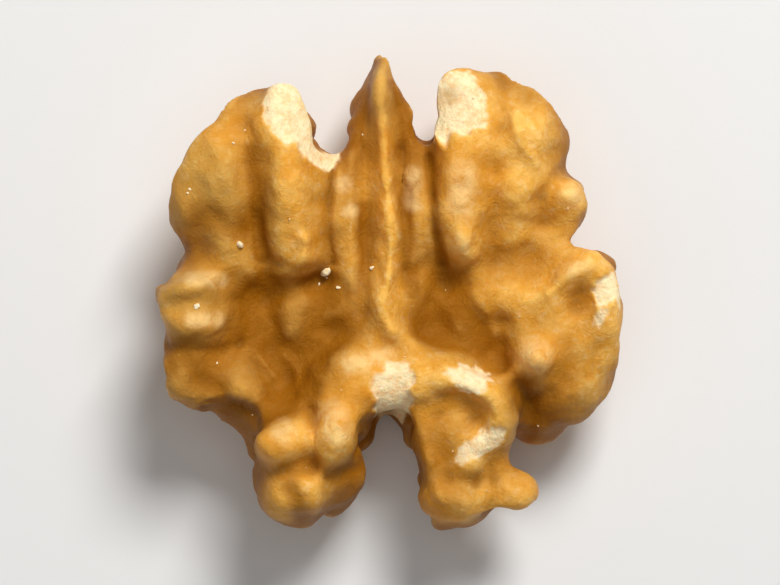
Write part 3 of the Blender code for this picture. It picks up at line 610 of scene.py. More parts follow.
@dataclass
class KernelForm:
    """The kernel's masses and folds melted into one body, as the frame's solid has them."""

    crease_radius: float = 0.7
    grain: float = 0.30
    melt_rounds: tuple[int, int, int] = (3, 1, 4)
    back_half_width: float = 15.9
    back_half_length: float = 17.4
    back_depth: float = 9.8
    back_sides: tuple[int, int] = (64, 48)
    drift: tuple[float, float, float] = (0.3, 0.3, 0.25)
    drift_ripple: Ripple = Ripple(1.0, 7.5, 12, 20)
    mass_roundness: int = 4
    path_step: float = 0.45
    ring_sides: int = 20
    ring_squareness: float = 0.85
    end_turns: tuple[float, ...] = (20.0, 40.0, 60.0, 80.0)
    cutter_top: float = 30.0
    cutter_depth: float = 44.0

    def add_mass(self, bm: bmesh.types.BMesh, mass: Mass) -> None:
        """Adds an ellipsoid, grown by the crease radius.

        Args:
            bm: What it is added to.
            mass: The ellipsoid.
        """
        grow = self.crease_radius
        half_height = (mass.top - mass.bottom) / 2 + grow
        semi = (mass.half_width + grow, mass.half_length + grow, half_height)
        matrix = (Matrix.Translation((mass.x, mass.y, (mass.top + mass.bottom) / 2))
                  @ Matrix.Rotation(math.radians(mass.turn), 4, "Z")
                  @ Matrix.Diagonal((*semi, 1.0)))
        bmesh.ops.create_icosphere(bm, subdivisions=self.mass_roundness, radius=1.0, matrix=matrix)

    def add_ring(self, bm: bmesh.types.BMesh, middle: np.ndarray, along: np.ndarray,
                 half_width: float, half_depth: float) -> list[bmesh.types.BMVert]:
        """Adds one upright ring of a fold.

        Args:
            bm: What it is added to.
            middle: The ring's middle.
            along: The way the fold runs, in plan.
            half_width: Half the ring's width.
            half_depth: Half the ring's depth.

        Returns:
            The ring's vertices.
        """
        across = np.array([-along[1], along[0]])
        ring = []
        for angle in np.linspace(0, 2 * math.pi, self.ring_sides, endpoint=False):
            sine, cosine = math.sin(angle), math.cos(angle)
            side = math.copysign(abs(sine) ** self.ring_squareness, sine) * half_width
            rise = math.copysign(abs(cosine) ** self.ring_squareness, cosine) * half_depth
            ring.append(bm.verts.new((*(middle[:2] + across * side), middle[2] + rise)))
        return ring

    def add_fold(self, bm: bmesh.types.BMesh, fold: Fold, grow: float) -> None:
        """Adds a rounded ridge lofted along its crest, with round ends.

        Args:
            bm: What it is added to.
            fold: The ridge.
            grow: How much thicker it is made all round.
        """
        path = smooth_path(fold.crest, self.path_step)
        along = np.gradient(path[:, :2], axis=0)
        along /= np.linalg.norm(along, axis=1)[:, None]
        half_depth = fold.depth / 2 + grow
        turns = np.radians(self.end_turns)
        stations = [(path[0], along[0], -turn) for turn in turns[::-1]]
        stations += [(row, heading, 0.0) for row, heading in zip(path, along)]
        stations += [(path[-1], along[-1], turn) for turn in turns]
        rings = []
        for (x, y, top, half_width), heading, turn in stations:
            reach = (half_width + grow) * math.sin(turn)
            level = top + grow - half_depth
            middle = np.array([x + heading[0] * reach, y + heading[1] * reach, level])
            rings.append(self.add_ring(bm, middle, heading, (half_width + grow) * math.cos(turn),
                                       half_depth * math.cos(turn)))
        faces = [bm.faces.new(rings[0][::-1]), bm.faces.new(rings[-1])]
        for ring, following in zip(rings, rings[1:]):
            for k, vertex in enumerate(ring):
                beside = (k + 1) % len(ring)
                corners = (vertex, ring[beside], following[beside], following[k])
                faces.append(bm.faces.new(corners))
        bmesh.ops.recalc_face_normals(bm, faces=faces)

    def back_guide(self) -> Skin:
        """Makes a guide with the rounded back, straight-sided and tall above its rim.

        Returns:
            The guide.
        """
        bm = bmesh.new()
        around, upward = self.back_sides
        bmesh.ops.create_uvsphere(bm, u_segments=around, v_segments=upward, radius=1.0)
        for vertex in bm.verts:
            half_height = self.back_depth if vertex.co.z < 0 else 3 * self.back_depth
            vertex.co.x *= self.back_half_width
            vertex.co.y *= self.back_half_length
            vertex.co.z = self.back_depth + vertex.co.z * half_height
        return Skin("back_guide", bm)

    def gap_cutters(self) -> Skin:
        """Makes the upright cutters that keep the gaps open.

        Returns:
            The cutters as one mesh.
        """
        bm = bmesh.new()
        for gap in GAPS.values():
            crest = [(x, y, self.cutter_top, half_width) for x, y, half_width in gap]
            self.add_fold(bm, Fold(self.cutter_depth, crest), 0.0)
        return Skin("gap_cutters", bm)

    def build(self) -> Skin:
        """Melts all masses and folds together and rounds the creases between them.

        Returns:
            The kernel's body, in millimetres.
        """
        bm = bmesh.new()
        for mass in MASSES.values():
            self.add_mass(bm, mass)
        for fold in FOLDS.values():
            self.add_fold(bm, fold, self.crease_radius)
        first, second, last = self.melt_rounds
        skin = Skin("kernel", bm)
        skin.melt(self.grain, first)
        skin.move(skin.points() - skin.normals() * self.crease_radius)
        skin.melt(self.grain, second)
        skin.cut(self.back_guide(), "INTERSECT")
        skin.cut(self.gap_cutters(), "DIFFERENCE")
        skin.melt(self.grain, last)
        points = skin.points()
        sway = np.stack([self.drift_ripple.at(points, shift) for shift in range(3)], axis=1)
        skin.move(points + sway * self.drift)
        return skin


@dataclass
class InnerFace:
    """Relief of the face that the two halves of the nut share."""

    step: float = 0.3
    facing: tuple[float, float] = (-0.1, 0.5)

    def draw(self, skin: Skin, strokes: dict[str, Stroke]) -> None:
        """Raises or sinks the surface along each stroke.

        Args:
            skin: The kernel.
            strokes: What is drawn on it.
        """
        points = skin.points()
        upward = smoothstep(skin.normals()[:, 2], *self.facing)
        for stroke in strokes.values():
            away = distance_to_path(points[:, :2], smooth_path(stroke.line, self.step))
            points[:, 2] += stroke.height * np.exp(-(away / stroke.width) ** 2) * upward
        skin.move(points)


@dataclass
class RoundedBack:
    """The winding folds of the side that lay against the shell."""

    spacing: float = 4.3
    depth: float = 1.9
    fold_waves: int = 9
    fold_seed: int = 11
    fold_slant: float = 0.7
    fold_spread: tuple[float, float] = (0.85, 1.2)
    fold_steepness: float = 1.3
    wander: float = 2.0
    wander_ripple: Ripple = Ripple(1.0, 8.0, 10, 6)
    groove_half_width: float = 1.5
    groove_wander: float = 0.5
    centre_height: float = 9.0
    centre_reach: tuple[float, float] = (0.5, 2.0)
    radius: float = 13.0
    facing: tuple[float, float] = (-0.45, 0.35)
    fade: tuple[float, float] = (9.0, 12.5)

    def folds(self, points: np.ndarray) -> np.ndarray:
        """How far each point is from a groove.

        Args:
            points: Where it is read.

        Returns:
            0 along the grooves, rising to 1 on the folds between them.
        """
        least, beyond = self.centre_reach
        below = np.maximum(self.centre_height - points[:, 2], least) + beyond
        round_the_back = self.radius * np.arctan2(points[:, 0], below)
        stray = self.wander_ripple.at(points)
        across = round_the_back + self.wander * stray
        along = points[:, 1] + self.wander * self.wander_ripple.at(points, 1)
        rng = np.random.default_rng(self.fold_seed)
        slants = rng.uniform(-self.fold_slant, self.fold_slant, self.fold_waves)
        pitches = math.pi / (self.spacing * rng.uniform(*self.fold_spread, self.fold_waves))
        phases = rng.uniform(0, 2 * math.pi, self.fold_waves)
        total = np.zeros(len(points))
        for slant, pitch, phase in zip(slants, pitches, phases):
            total += np.cos(pitch * (math.sin(slant) * across + math.cos(slant) * along) + phase)
        away = np.abs(total) / (self.fold_steepness * math.sqrt(self.fold_waves / 2))
        beside = np.abs(round_the_back + self.groove_wander * stray) / self.groove_half_width
        return np.clip(np.minimum(away, beside), 0.0, 1.0)

    def carve(self, skin: Skin) -> None:
        """Sinks the grooves, deepest away from the inner face.

        Args:
            skin: The kernel.
        """
        points, outward = skin.points(), skin.normals()
        share = smoothstep(-outward[:, 2], *self.facing)
        share *= 1 - smoothstep(points[:, 2], *self.fade)
        depth = self.depth * (1 - np.sqrt(self.folds(points)))
        skin.move(points - outward * (depth * share)[:, None])


@dataclass
class ChippedSkin:
    """Flat cream patches where the thin skin and a little flesh have come off."""

    edge_ripples: tuple[Ripple, ...] = (Ripple(0.22, 1.3, 16, 100),
                                        Ripple(0.4 * 0.22, 0.5, 16, 150))
    edge_width: float = 0.12
    grit: float = 0.03
    grit_ripples: tuple[Ripple, ...] = (Ripple(1.0, 0.7, 24, 300), Ripple(0.6, 0.35, 24, 350))
    core_share: float = 0.5
    core_upward: float = 0.45
    reach_down: float = 3.0
    full_down: float = 0.6

    def inside(self, points: np.ndarray, chip: Chip, number: int) -> np.ndarray:
        """How much of each vertex belongs to a chip in plan.

        Args:
            points: The vertices.
            chip: The chip.
            number: Its place in the list, which sets how its edge wobbles.

        Returns:
            0 outside, 1 inside, with a narrow rise at the edge.
        """
        depth = depth_inside(points[:, :2], chip.outline)
        for ripple in self.edge_ripples:
            depth += ripple.at(points, number)
        return smoothstep(depth, -self.edge_width, self.edge_width)

    def cut(self, skin: Skin) -> None:
        """Breaks the chips out of the surface and keeps where they are.

        Args:
            skin: The kernel.
        """
        points, outward = skin.points(), skin.normals()
        bare = np.zeros(len(points))
        for number, chip in enumerate(CHIPS.values()):
            share = self.inside(points, chip, number)
            core = (share > self.core_share) & (outward[:, 2] > self.core_upward)
            plan = np.column_stack((points[core, :2], np.ones(core.sum())))
            slope = np.linalg.lstsq(plan, points[core, 2], rcond=None)[0][:2] * chip.lean
            middle = points[core].mean(axis=0)
            level = middle[2] + (points[:, :2] - middle[:2]) @ slope
            above = points[:, 2] - level
            share *= smoothstep(above, -self.reach_down, -self.full_down * self.reach_down)
            flat = level + (1 - chip.flatness) * np.maximum(above, 0.0)
            sunk = points[:, 2] - chip.depth * np.clip(outward[:, 2], 0.0, 1.0)
            rough = sum(ripple.at(points, number) for ripple in self.grit_ripples)
            broken = np.minimum(sunk, flat - chip.depth) + self.grit * rough
            points[:, 2] += share * (broken - points[:, 2])
            bare = np.maximum(bare, share)
        skin.move(points)
        skin.store("bare", bare)


@dataclass
class SurfaceMarks:
    """Numbers kept for each vertex, which the skin's colours follow; the hollows, broad sunken
    places, fine creases and dark patches carry painted shade, and the pale patches painted
    highlights.
    """

    fine_rounds: int = 12
    fine_height: float = 0.12
    broad_rounds: int = 260
    broad_height: float = 1.0
    cell: float = 0.5
    reach: float = 3.5
    hollow_depths: tuple[float, float] = (0.7, 4.2)
    inner_facing: tuple[float, float] = (-0.5, 0.2)
    back_facing: tuple[float, float] = (-0.2, 0.5)
    stain_or_light_core: float = 0.2
    stain_or_light_step: float = 0.5

    def depth_below_tops(self, points: np.ndarray) -> np.ndarray:
        """How far each point lies below the tops around it.

        Args:
            points: The vertices.

        Returns:
            One depth a point, in millimetres.
        """
        steps = int(self.reach / self.cell)
        plan = points[:, :2] - points[:, :2].min(axis=0)
        spot = np.floor(plan / self.cell).astype(int) + steps
        tops = np.zeros(spot.max(axis=0) + steps + 1)
        np.maximum.at(tops, (spot[:, 0], spot[:, 1]), points[:, 2])
        disc = [(i, j) for i in range(-steps, steps + 1) for j in range(-steps, steps + 1)
                if math.hypot(i, j) <= steps]
        around = np.max([np.roll(tops, shift, axis=(0, 1)) for shift in disc], axis=0)
        near = [shift for shift in disc if math.hypot(*shift) <= steps / 2]
        around = np.mean([np.roll(around, shift, axis=(0, 1)) for shift in near], axis=0)
        return around[spot[:, 0], spot[:, 1]] - points[:, 2]

    def bulge(self, skin: Skin, rounds: int) -> np.ndarray:
        """How far each vertex stands out of the smoothed skin.

        Args:
            skin: The kernel.
            rounds: How often the skin is smoothed.

        Returns:
            One height a vertex, in millimetres.
        """
        return ((skin.points() - skin.smoothed(rounds)) * skin.normals()).sum(axis=1)

    def stain_or_light_share(self, points: np.ndarray, stains_or_lights: Iterable[StainOrPaintedLight]) -> np.ndarray:
        """How much of each vertex lies in one of the patches of a tone: a duller tone of the skin,
        painted shade or painted highlight.

        Args:
            points: The vertices.
            stains_or_lights: The patches of one tone.

        Returns:
            Shares from 0 to 1.
        """
        share = np.zeros(len(points))
        for stain_or_light in stains_or_lights:
            spot = len(stain_or_light.line) == 1
            line = np.array(stain_or_light.line * 2) if spot else smooth_path(stain_or_light.line, self.stain_or_light_step)
            away = distance_to_path(points[:, :2], line)
            core = self.stain_or_light_core * stain_or_light.reach
            share = np.maximum(share, 1 - smoothstep(away, core, stain_or_light.reach))
        return share

    def keep(self, skin: Skin) -> None:
        """Stores creases, hollows and patches of tone on the mesh; the colour paints shade into
        the hollows, sunken places, creases and dark patches, and highlights on the pale patches.

        Args:
            skin: The kernel.
        """
        points, upward = skin.points(), skin.normals()[:, 2]
        # ridge and rise: fine and broad bulge; the colour paints shade into fine creases and
        # sunken places
        for name, rounds, height in (("ridge", self.fine_rounds, self.fine_height),
                                     ("rise", self.broad_rounds, self.broad_height)):
            skin.store(name, np.clip(self.bulge(skin, rounds) / height, -1.0, 1.0))
        inner = smoothstep(upward, *self.inner_facing)
        sunk = self.depth_below_tops(points)
        # hollow: depth below the tops around, which the colour fills with painted shade
        skin.store("hollow", smoothstep(sunk, *self.hollow_depths) * inner)
        skin.store("back", smoothstep(-upward, *self.back_facing))
        # the patches of each tone: the skin's duller tone, painted shade and painted highlights
        for tone, stains_or_lights in STAINS_AND_PAINTED_LIGHT.items():
            skin.store(tone.value, self.stain_or_light_share(points, stains_or_lights.values()) * inner)


@dataclass(frozen=True)
class Mottle:
    """A noise texture's numbers: scale, which may be a socket, detail, roughness and warp."""

    scale: float | bpy.types.NodeSocket
    detail: float = 4.0
    rough: float = 0.55
    warp: float = 0.0


class Wiring:
    """Adds linked nodes to a node tree."""

    def __init__(self, tree: bpy.types.NodeTree) -> None:
        """Takes the tree that the nodes go into."""
        self.tree = tree

    def feed(self, node: bpy.types.Node, sockets: dict[str | int, Any]) -> None:
        """Sets or links a node's inputs.

        Args:
            node: The node.
            sockets: A value for an input, or the output that is linked to it.
        """
        for name, value in sockets.items():
            if isinstance(value, bpy.types.NodeSocket):
                self.tree.links.new(value, node.inputs[name])
            else:
                node.inputs[name].default_value = value

    def add(self, kind: str, sockets: dict[str | int, Any] | None = None, **settings: Any) -> Any:
        """Adds a node.

        Args:
            kind: The node's type.
            sockets: A value for an input, or the output that is linked to it.
            **settings: The node's own properties.

        Returns:
            The node's outputs.
        """
        node = self.tree.nodes.new(kind)
        for name, value in settings.items():
            setattr(node, name, value)
        self.feed(node, sockets or {})
        return node.outputs

    def noise(self, place: Any, mottle: Mottle, output: int = 0) -> Any:
        """Adds a noise texture.

        Args:
            place: Where it is read.
            mottle: Its numbers.
            output: 0 for its value, from 0 to 1, or 1 for its colour.

        Returns:
            The output's socket.
        """
        sockets = {"Vector": place, "Scale": mottle.scale, "Detail": mottle.detail,
                   "Roughness": mottle.rough, "Distortion": mottle.warp}
        return self.add("ShaderNodeTexNoise", sockets)[output]

    def cells(self, place: Any, scale: float, feature: str = "F1") -> Any:
        """Adds a texture of cells and gives its distance."""
        sockets = {"Vector": place, "Scale": scale}
        return self.add("ShaderNodeTexVoronoi", sockets, feature=feature)["Distance"]

    def ramp(self, value: Any, low: float, high: float) -> Any:
        """Adds an even rise from 0 at low to 1 at high and gives its result."""
        sockets = {"Value": value, "From Min": low, "From Max": high}
        return self.add("ShaderNodeMapRange", sockets, interpolation_type="SMOOTHSTEP")[0]

    def maths(self, operation: str, first: Any, second: Any = 0.0, clamp: bool = False) -> Any:
        """Adds a sum of two numbers or sockets and gives its result."""
        sockets = {0: first, 1: second}
        return self.add("ShaderNodeMath", sockets, operation=operation, use_clamp=clamp)[0]

    def times(self, first: Any, second: Any) -> Any:
        """Multiplies two numbers or sockets."""
        return self.maths("MULTIPLY", first, second)

    def vector(self, operation: str, first: Any, second: Any) -> Any:
        """Adds a sum of two vectors, or of a vector and a scale, and gives its result."""
        sockets = {0: first, "Scale" if operation == "SCALE" else 1: second}
        return self.add("ShaderNodeVectorMath", sockets, operation=operation)[0]

    def mix(self, share: Any, first: Any, second: Any) -> Any:
        """Adds a mix of two colours and gives its result."""
        return self.add("ShaderNodeMix", {0: share, 6: first, 7: second}, data_type="RGBA")[2]

    def mark(self, name: str) -> Any:
        """Reads a number kept on the mesh."""
        return self.add("ShaderNodeAttribute", attribute_name=name)["Fac"]


def new_material(name: str) -> tuple[bpy.types.Material, Wiring, Any]:
    """Makes a material.

    Args:
        name: Its name.

    Returns:
        The material, its wiring and its shader.
    """
    made = bpy.data.materials.new(name)
    made.use_nodes = True
    return made, Wiring(made.node_tree), made.node_tree.nodes["Principled BSDF"]


def colour(red: float, green: float, blue: float) -> tuple[float, float, float, float]:
    """Turns the shares that a screen shows into a linear colour.

    Args:
        red: The share of red, from 0 to 255.
        green: The share of green.
        blue: The share of blue.

    Returns:
        The colour, with an alpha of 1.
    """
    linear = []
    for part in (red / 255, green / 255, blue / 255):
        linear.append(part / 12.92 if part <= 0.04045 else ((part + 0.055) / 1.055) ** 2.4)
    return (*linear, 1.0)


@dataclass(frozen=True)
class KernelFinish:
    """The waxy brown skin, its veins, and the cream flesh where it is bare."""

    honey: tuple[float, ...] = colour(232, 166, 62)
    pale: tuple[float, ...] = colour(243, 189, 96)
    # blond: pale mottling, and painted highlights on the pale patches
    blond: tuple[float, ...] = colour(252, 216, 150)
    # amber: mottling, and painted shade in broad sunken places
    amber: tuple[float, ...] = colour(214, 136, 26)
    # deep: the painted shade of the hollows and dark patches
    deep: tuple[float, ...] = colour(148, 88, 4)
    # brown: painted shade in fine creases, and real flecks
    brown: tuple[float, ...] = colour(112, 62, 8)
    # dull: the skin's duller tone; on bare flesh it carries the painted shade of the dark patches
    dull: tuple[float, ...] = colour(176, 130, 58)
    vein: tuple[float, ...] = colour(140, 84, 40)
    shine: tuple[float, ...] = colour(255, 206, 130)
    cream: tuple[float, ...] = colour(255, 233, 186)
    cream_shade: tuple[float, ...] = colour(246, 204, 146)
    skin_roughness: tuple[float, float] = (0.46 - 0.08, 0.46 + 0.14)
    flesh_roughness: float = 0.72
    specular: float = 0.42
    glow: float = 0.22
    glow_radius: tuple[float, float, float] = (1.0, 0.48, 0.18)
    glow_depth: float = 0.0016
    broad: Mottle = Mottle(0.16, 3.0)
    middle: Mottle = Mottle(0.75, 6.0, 0.62, 0.4)
    fine: Mottle = Mottle(1.9, 5.0, 0.6, 0.6)
    specks: Mottle = Mottle(3.2, 5.0, 0.7)
    vein_bend: Mottle = Mottle(0.55, 4.0, 0.5)
    vein_push: float = 2.4
    vein_cells: float = 0.30
    vein_patches: Mottle = Mottle(0.4, 3.0)
    vein_strength: float = 0.7
    pits: Mottle = Mottle(1.6, 6.0, 0.7)
    wear: Mottle = Mottle(1.1, 4.0)
    wrinkles: Mottle = Mottle(1.6, 8.0, 0.66, 1.4)
    wrinkle_height: float = 1.1
    pores: Mottle = Mottle(7.0, 3.0, 0.6)
    pore_height: float = 0.16
    vein_height: float = 0.12
    grit_cells: float = 4.5
    grit_height: float = 0.3
    flesh_lumps: Mottle = Mottle(3.0, 8.0, 0.7)
    bump_strength: float = 0.7
    bump_height: float = 0.00018

    def skin_colour(self, w: Wiring, place: Any) -> Any:
        """The skin's colour from its marks and mottling, with painted shade and painted
        highlights.

        Args:
            w: The material's wiring.
            place: Object coordinates in millimetres.

        Returns:
            The colour's socket.
        """
        broad, middle, fine, specks = (
            w.noise(place, mottle) for mottle in (self.broad, self.middle, self.fine, self.specks))
        ridge = w.mark("ridge")
        # painted shade: the dark patches and the hollows together
        shade = w.maths("ADD", w.times(w.mark("dark"), 0.6), w.mark("hollow"), clamp=True)
        layers = (
            (w.ramp(fine, 0.52, 0.68), 0.45, self.blond),
            (w.ramp(fine, 0.46, 0.32), 0.4, self.amber),
            (w.ramp(broad, 0.42, 0.62), 0.6, self.amber),
            (w.mark("dull"), 0.75, self.dull),
            # painted shade: amber in broad sunken places
            (w.ramp(w.mark("rise"), 0.3, -0.8), 0.7, self.amber),
            # painted shade: deep amber-brown in the hollows and dark patches
            (shade, 0.95, self.deep),
            # painted shade: brown in fine creases
            (w.ramp(ridge, -0.05, -0.9), 0.5, self.brown),
            (w.ramp(ridge, 0.05, 0.9), 0.45, self.pale),
            # painted highlights on the pale patches, and lighter skin on the ledges
            (w.times(w.mark("pale"), w.ramp(middle, 0.25, 0.6)), 0.55, self.blond),
            (w.ramp(specks, 0.60, 0.74), 0.25, self.brown),
        )
        tone = w.mix(w.ramp(middle, 0.35, 0.68), self.honey, self.pale)
        for share, strength, over in layers:
            tone = w.mix(w.times(share, strength), tone, over)
        return tone

    def veins(self, w: Wiring, place: Any) -> Any:
        """Thin winding veins of the back.

        Args:
            w: The material's wiring.
            place: Object coordinates in millimetres.

        Returns:
            A share from 0 to 1.
        """
        push = w.vector("MULTIPLY", w.noise(place, self.vein_bend, 1), (self.vein_push,) * 3)
        bent = w.vector("ADD", place, push)
        line = w.ramp(w.cells(bent, self.vein_cells, "DISTANCE_TO_EDGE"), 0.035, 0.008)
        patchy = w.ramp(w.noise(place, self.vein_patches), 0.45, 0.62)
        return w.times(w.times(line, patchy), w.mark("back"))

    def flesh_colour(self, w: Wiring, place: Any) -> Any:
        """The cream of the bare flesh, a little darker in its pits, with painted shade where the
        dark patches lie and a real brown ring mark on one chip.

        Args:
            w: The material's wiring.
            place: Object coordinates in millimetres.

        Returns:
            The colour's socket.
        """
        pits = w.ramp(w.noise(place, self.pits), 0.40, 0.68)
        tone = w.mix(pits, self.cream, self.cream_shade)
        # the dark patches: painted shade on the flesh, and the ring mark on the right wing's chip
        return w.mix(w.times(w.mark("dark"), 0.45), tone, self.dull)

    def relief(self, w: Wiring, place: Any, bare: Any, veins: Any) -> Any:
        """Wrinkles of the skin and grit of the bare flesh, as a bent normal.

        Args:
            w: The material's wiring.
            place: Object coordinates in millimetres.
            bare: The share of bare flesh.
            veins: The share of veins.

        Returns:
            The normal's socket.
        """
        wrinkles = w.times(w.noise(place, self.wrinkles), self.wrinkle_height)
        pores = w.times(w.noise(place, self.pores), self.pore_height)
        skin = w.maths("ADD", w.maths("ADD", wrinkles, pores), w.times(veins, self.vein_height))
        grit = w.times(w.cells(place, self.grit_cells), self.grit_height)
        flesh = w.maths("ADD", grit, w.noise(place, self.flesh_lumps))
        height = w.add("ShaderNodeMix", {0: bare, 2: skin, 3: flesh})[0]
        return w.add("ShaderNodeBump", {"Strength": self.bump_strength, "Height": height,
                                        "Distance": self.bump_height})[0]

    def material(self) -> bpy.types.Material:
        """Builds the material.

        Returns:
            The material.
        """
        made, w, shader = new_material("kernel_skin")
        coordinates = w.add("ShaderNodeTexCoord")["Object"]
        place = w.add("ShaderNodeMapping", {"Vector": coordinates, "Scale": (1 / METRES,) * 3})[0]
        bare, veins = w.mark("bare"), self.veins(w, place)
        skin = w.mix(w.times(veins, self.vein_strength), self.skin_colour(w, place), self.vein)
        low, high = self.skin_roughness
        gloss = w.add("ShaderNodeMapRange", {"Value": w.noise(place, self.wear), "To Min": low,
                                             "To Max": high})[0]
        w.feed(shader, {
            "Base Color": w.mix(bare, skin, self.flesh_colour(w, place)),
            "Roughness": w.add("ShaderNodeMix", {0: bare, 2: gloss, 3: self.flesh_roughness})[0],
            "Normal": self.relief(w, place, bare, veins),
            "Specular IOR Level": self.specular,
            "Specular Tint": self.shine,
            "Subsurface Weight": self.glow,
            "Subsurface Radius": self.glow_radius,
            "Subsurface Scale": self.glow_depth,
        })
        return made


def new_tree(name: str, inputs: dict[str, str]) -> tuple[Wiring, Any]:
    """Makes a Geometry Nodes tree that takes a mesh, named numbers and a material.

    Args:
        name: The tree's name.
        inputs: The kind of each named input.

    Returns:
        The tree's wiring and what it is given.
    """
    tree = bpy.data.node_groups.new(name, "GeometryNodeTree")
    for label, kind in {"Geometry": "Geometry", **inputs, "Material": "Material"}.items():
        tree.interface.new_socket(label, in_out="INPUT", socket_type=f"NodeSocket{kind}")
    tree.interface.new_socket("Geometry", in_out="OUTPUT", socket_type="NodeSocketGeometry")
    w = Wiring(tree)
    return w, w.add("NodeGroupInput")


def end_tree(w: Wiring, geometry: Any, material: Any) -> bpy.types.NodeTree:
    """Ends a tree in real, dressed geometry.

    Args:
        w: The tree's wiring.
        geometry: What it ends with.
        material: What that is dressed in.

    Returns:
        The tree.
    """
    real = w.add("GeometryNodeRealizeInstances", {0: geometry})[0]
    dressed = w.add("GeometryNodeSetMaterial", {"Geometry": real, "Material": material})[0]
    w.add("NodeGroupOutput", {0: dressed})
    return w.tree


def run_tree(skin: Skin, tree: bpy.types.NodeTree, values: dict[str, Any]) -> None:
    """Runs a Geometry Nodes tree on a mesh and keeps its result.

    Args:
        skin: The mesh.
        tree: The node tree.
        values: What each named input is set to.
    """
    modifier = skin.ob.modifiers.new(tree.name, "NODES")
    modifier.node_group = tree
    for item in tree.interface.items_tree:
        if item.item_type == "SOCKET" and item.in_out == "INPUT" and item.name in values:
            modifier[item.identifier] = values[item.name]
    skin.take_evaluated()


@dataclass
class SkinGrain:
    """Fine lumps and wrinkles of the skin, moved into the mesh by Geometry Nodes."""

    lump_height: float = 0.16
    lump_ripples: tuple[Ripple, ...] = (Ripple(1.0, 3.2, 30, 41), Ripple(0.3, 1.6, 40, 42))
    layers: tuple[str, ...] = ("Wrinkle", "Pit")
    heights: tuple[float, ...] = (0.06, 0.03)
    sizes: tuple[float, ...] = (1.2, 0.45)
    warps: tuple[float, ...] = (0.9, 0.0)

    def lump(self, skin: Skin) -> None:
        """Adds the small soft lumps that the frame's solid has too.

        Args:
            skin: The kernel.
        """
        points = skin.points()
        lumps = sum(ripple.at(points) for ripple in self.lump_ripples)
        skin.move(points + skin.normals() * (self.lump_height * lumps)[:, None])

    def tree(self) -> bpy.types.NodeTree:
        """Makes the node tree, with its sizes and its material as named inputs.

        Returns:
            The node tree.
        """
        words = ("Height", "Size")
        inputs = {f"{layer} {word}": "Float" for layer in self.layers for word in words}
        w, given = new_tree("skin_grain", inputs)
        place = w.add("GeometryNodeInputPosition")[0]
        total = None
        for layer, warp in zip(self.layers, self.warps):
            scale = w.maths("DIVIDE", 1.0, given[f"{layer} Size"])
            noise = w.noise(place, Mottle(scale, 2.0, 0.5, warp))
            rise = w.times(w.times(w.maths("SUBTRACT", noise, 0.5), given[f"{layer} Height"]), 2.0)
            total = rise if total is None else w.maths("ADD", total, rise)
        step = w.vector("SCALE", w.add("GeometryNodeInputNormal")[0], total)
        moved = w.add("GeometryNodeSetPosition", {"Geometry": given["Geometry"], "Offset": step})
        return end_tree(w, moved[0], given["Material"])

    def wrinkle(self, skin: Skin, material: bpy.types.Material) -> None:
        """Runs the node tree on the kernel and keeps its result.

        Args:
            skin: The kernel.
            material: What it is dressed in.
        """
        values: dict[str, Any] = {"Material": material}
        for layer, height, size in zip(self.layers, self.heights, self.sizes):
            values |= {f"{layer} Height": height, f"{layer} Size": size}
        run_tree(skin, self.tree(), values)


@dataclass(frozen=True)
class CrumbFinish:
    """The pale, matt flesh of the crumbs."""

    light: tuple[float, ...] = colour(255, 240, 205)
    dark: tuple[float, ...] = colour(240, 208, 150)
    spots: Mottle = Mottle(3000.0)
    roughness: float = 0.7

    def material(self) -> bpy.types.Material:
        """Builds the material.

        Returns:
            The material.
        """
        made, w, shader = new_material("crumb_flesh")
        place = w.add("ShaderNodeTexCoord")["Object"]
        shade = w.ramp(w.noise(place, self.spots), 0.35, 0.7)
        w.feed(shader, {"Base Color": w.mix(shade, self.light, self.dark),
                        "Roughness": self.roughness})
        return made


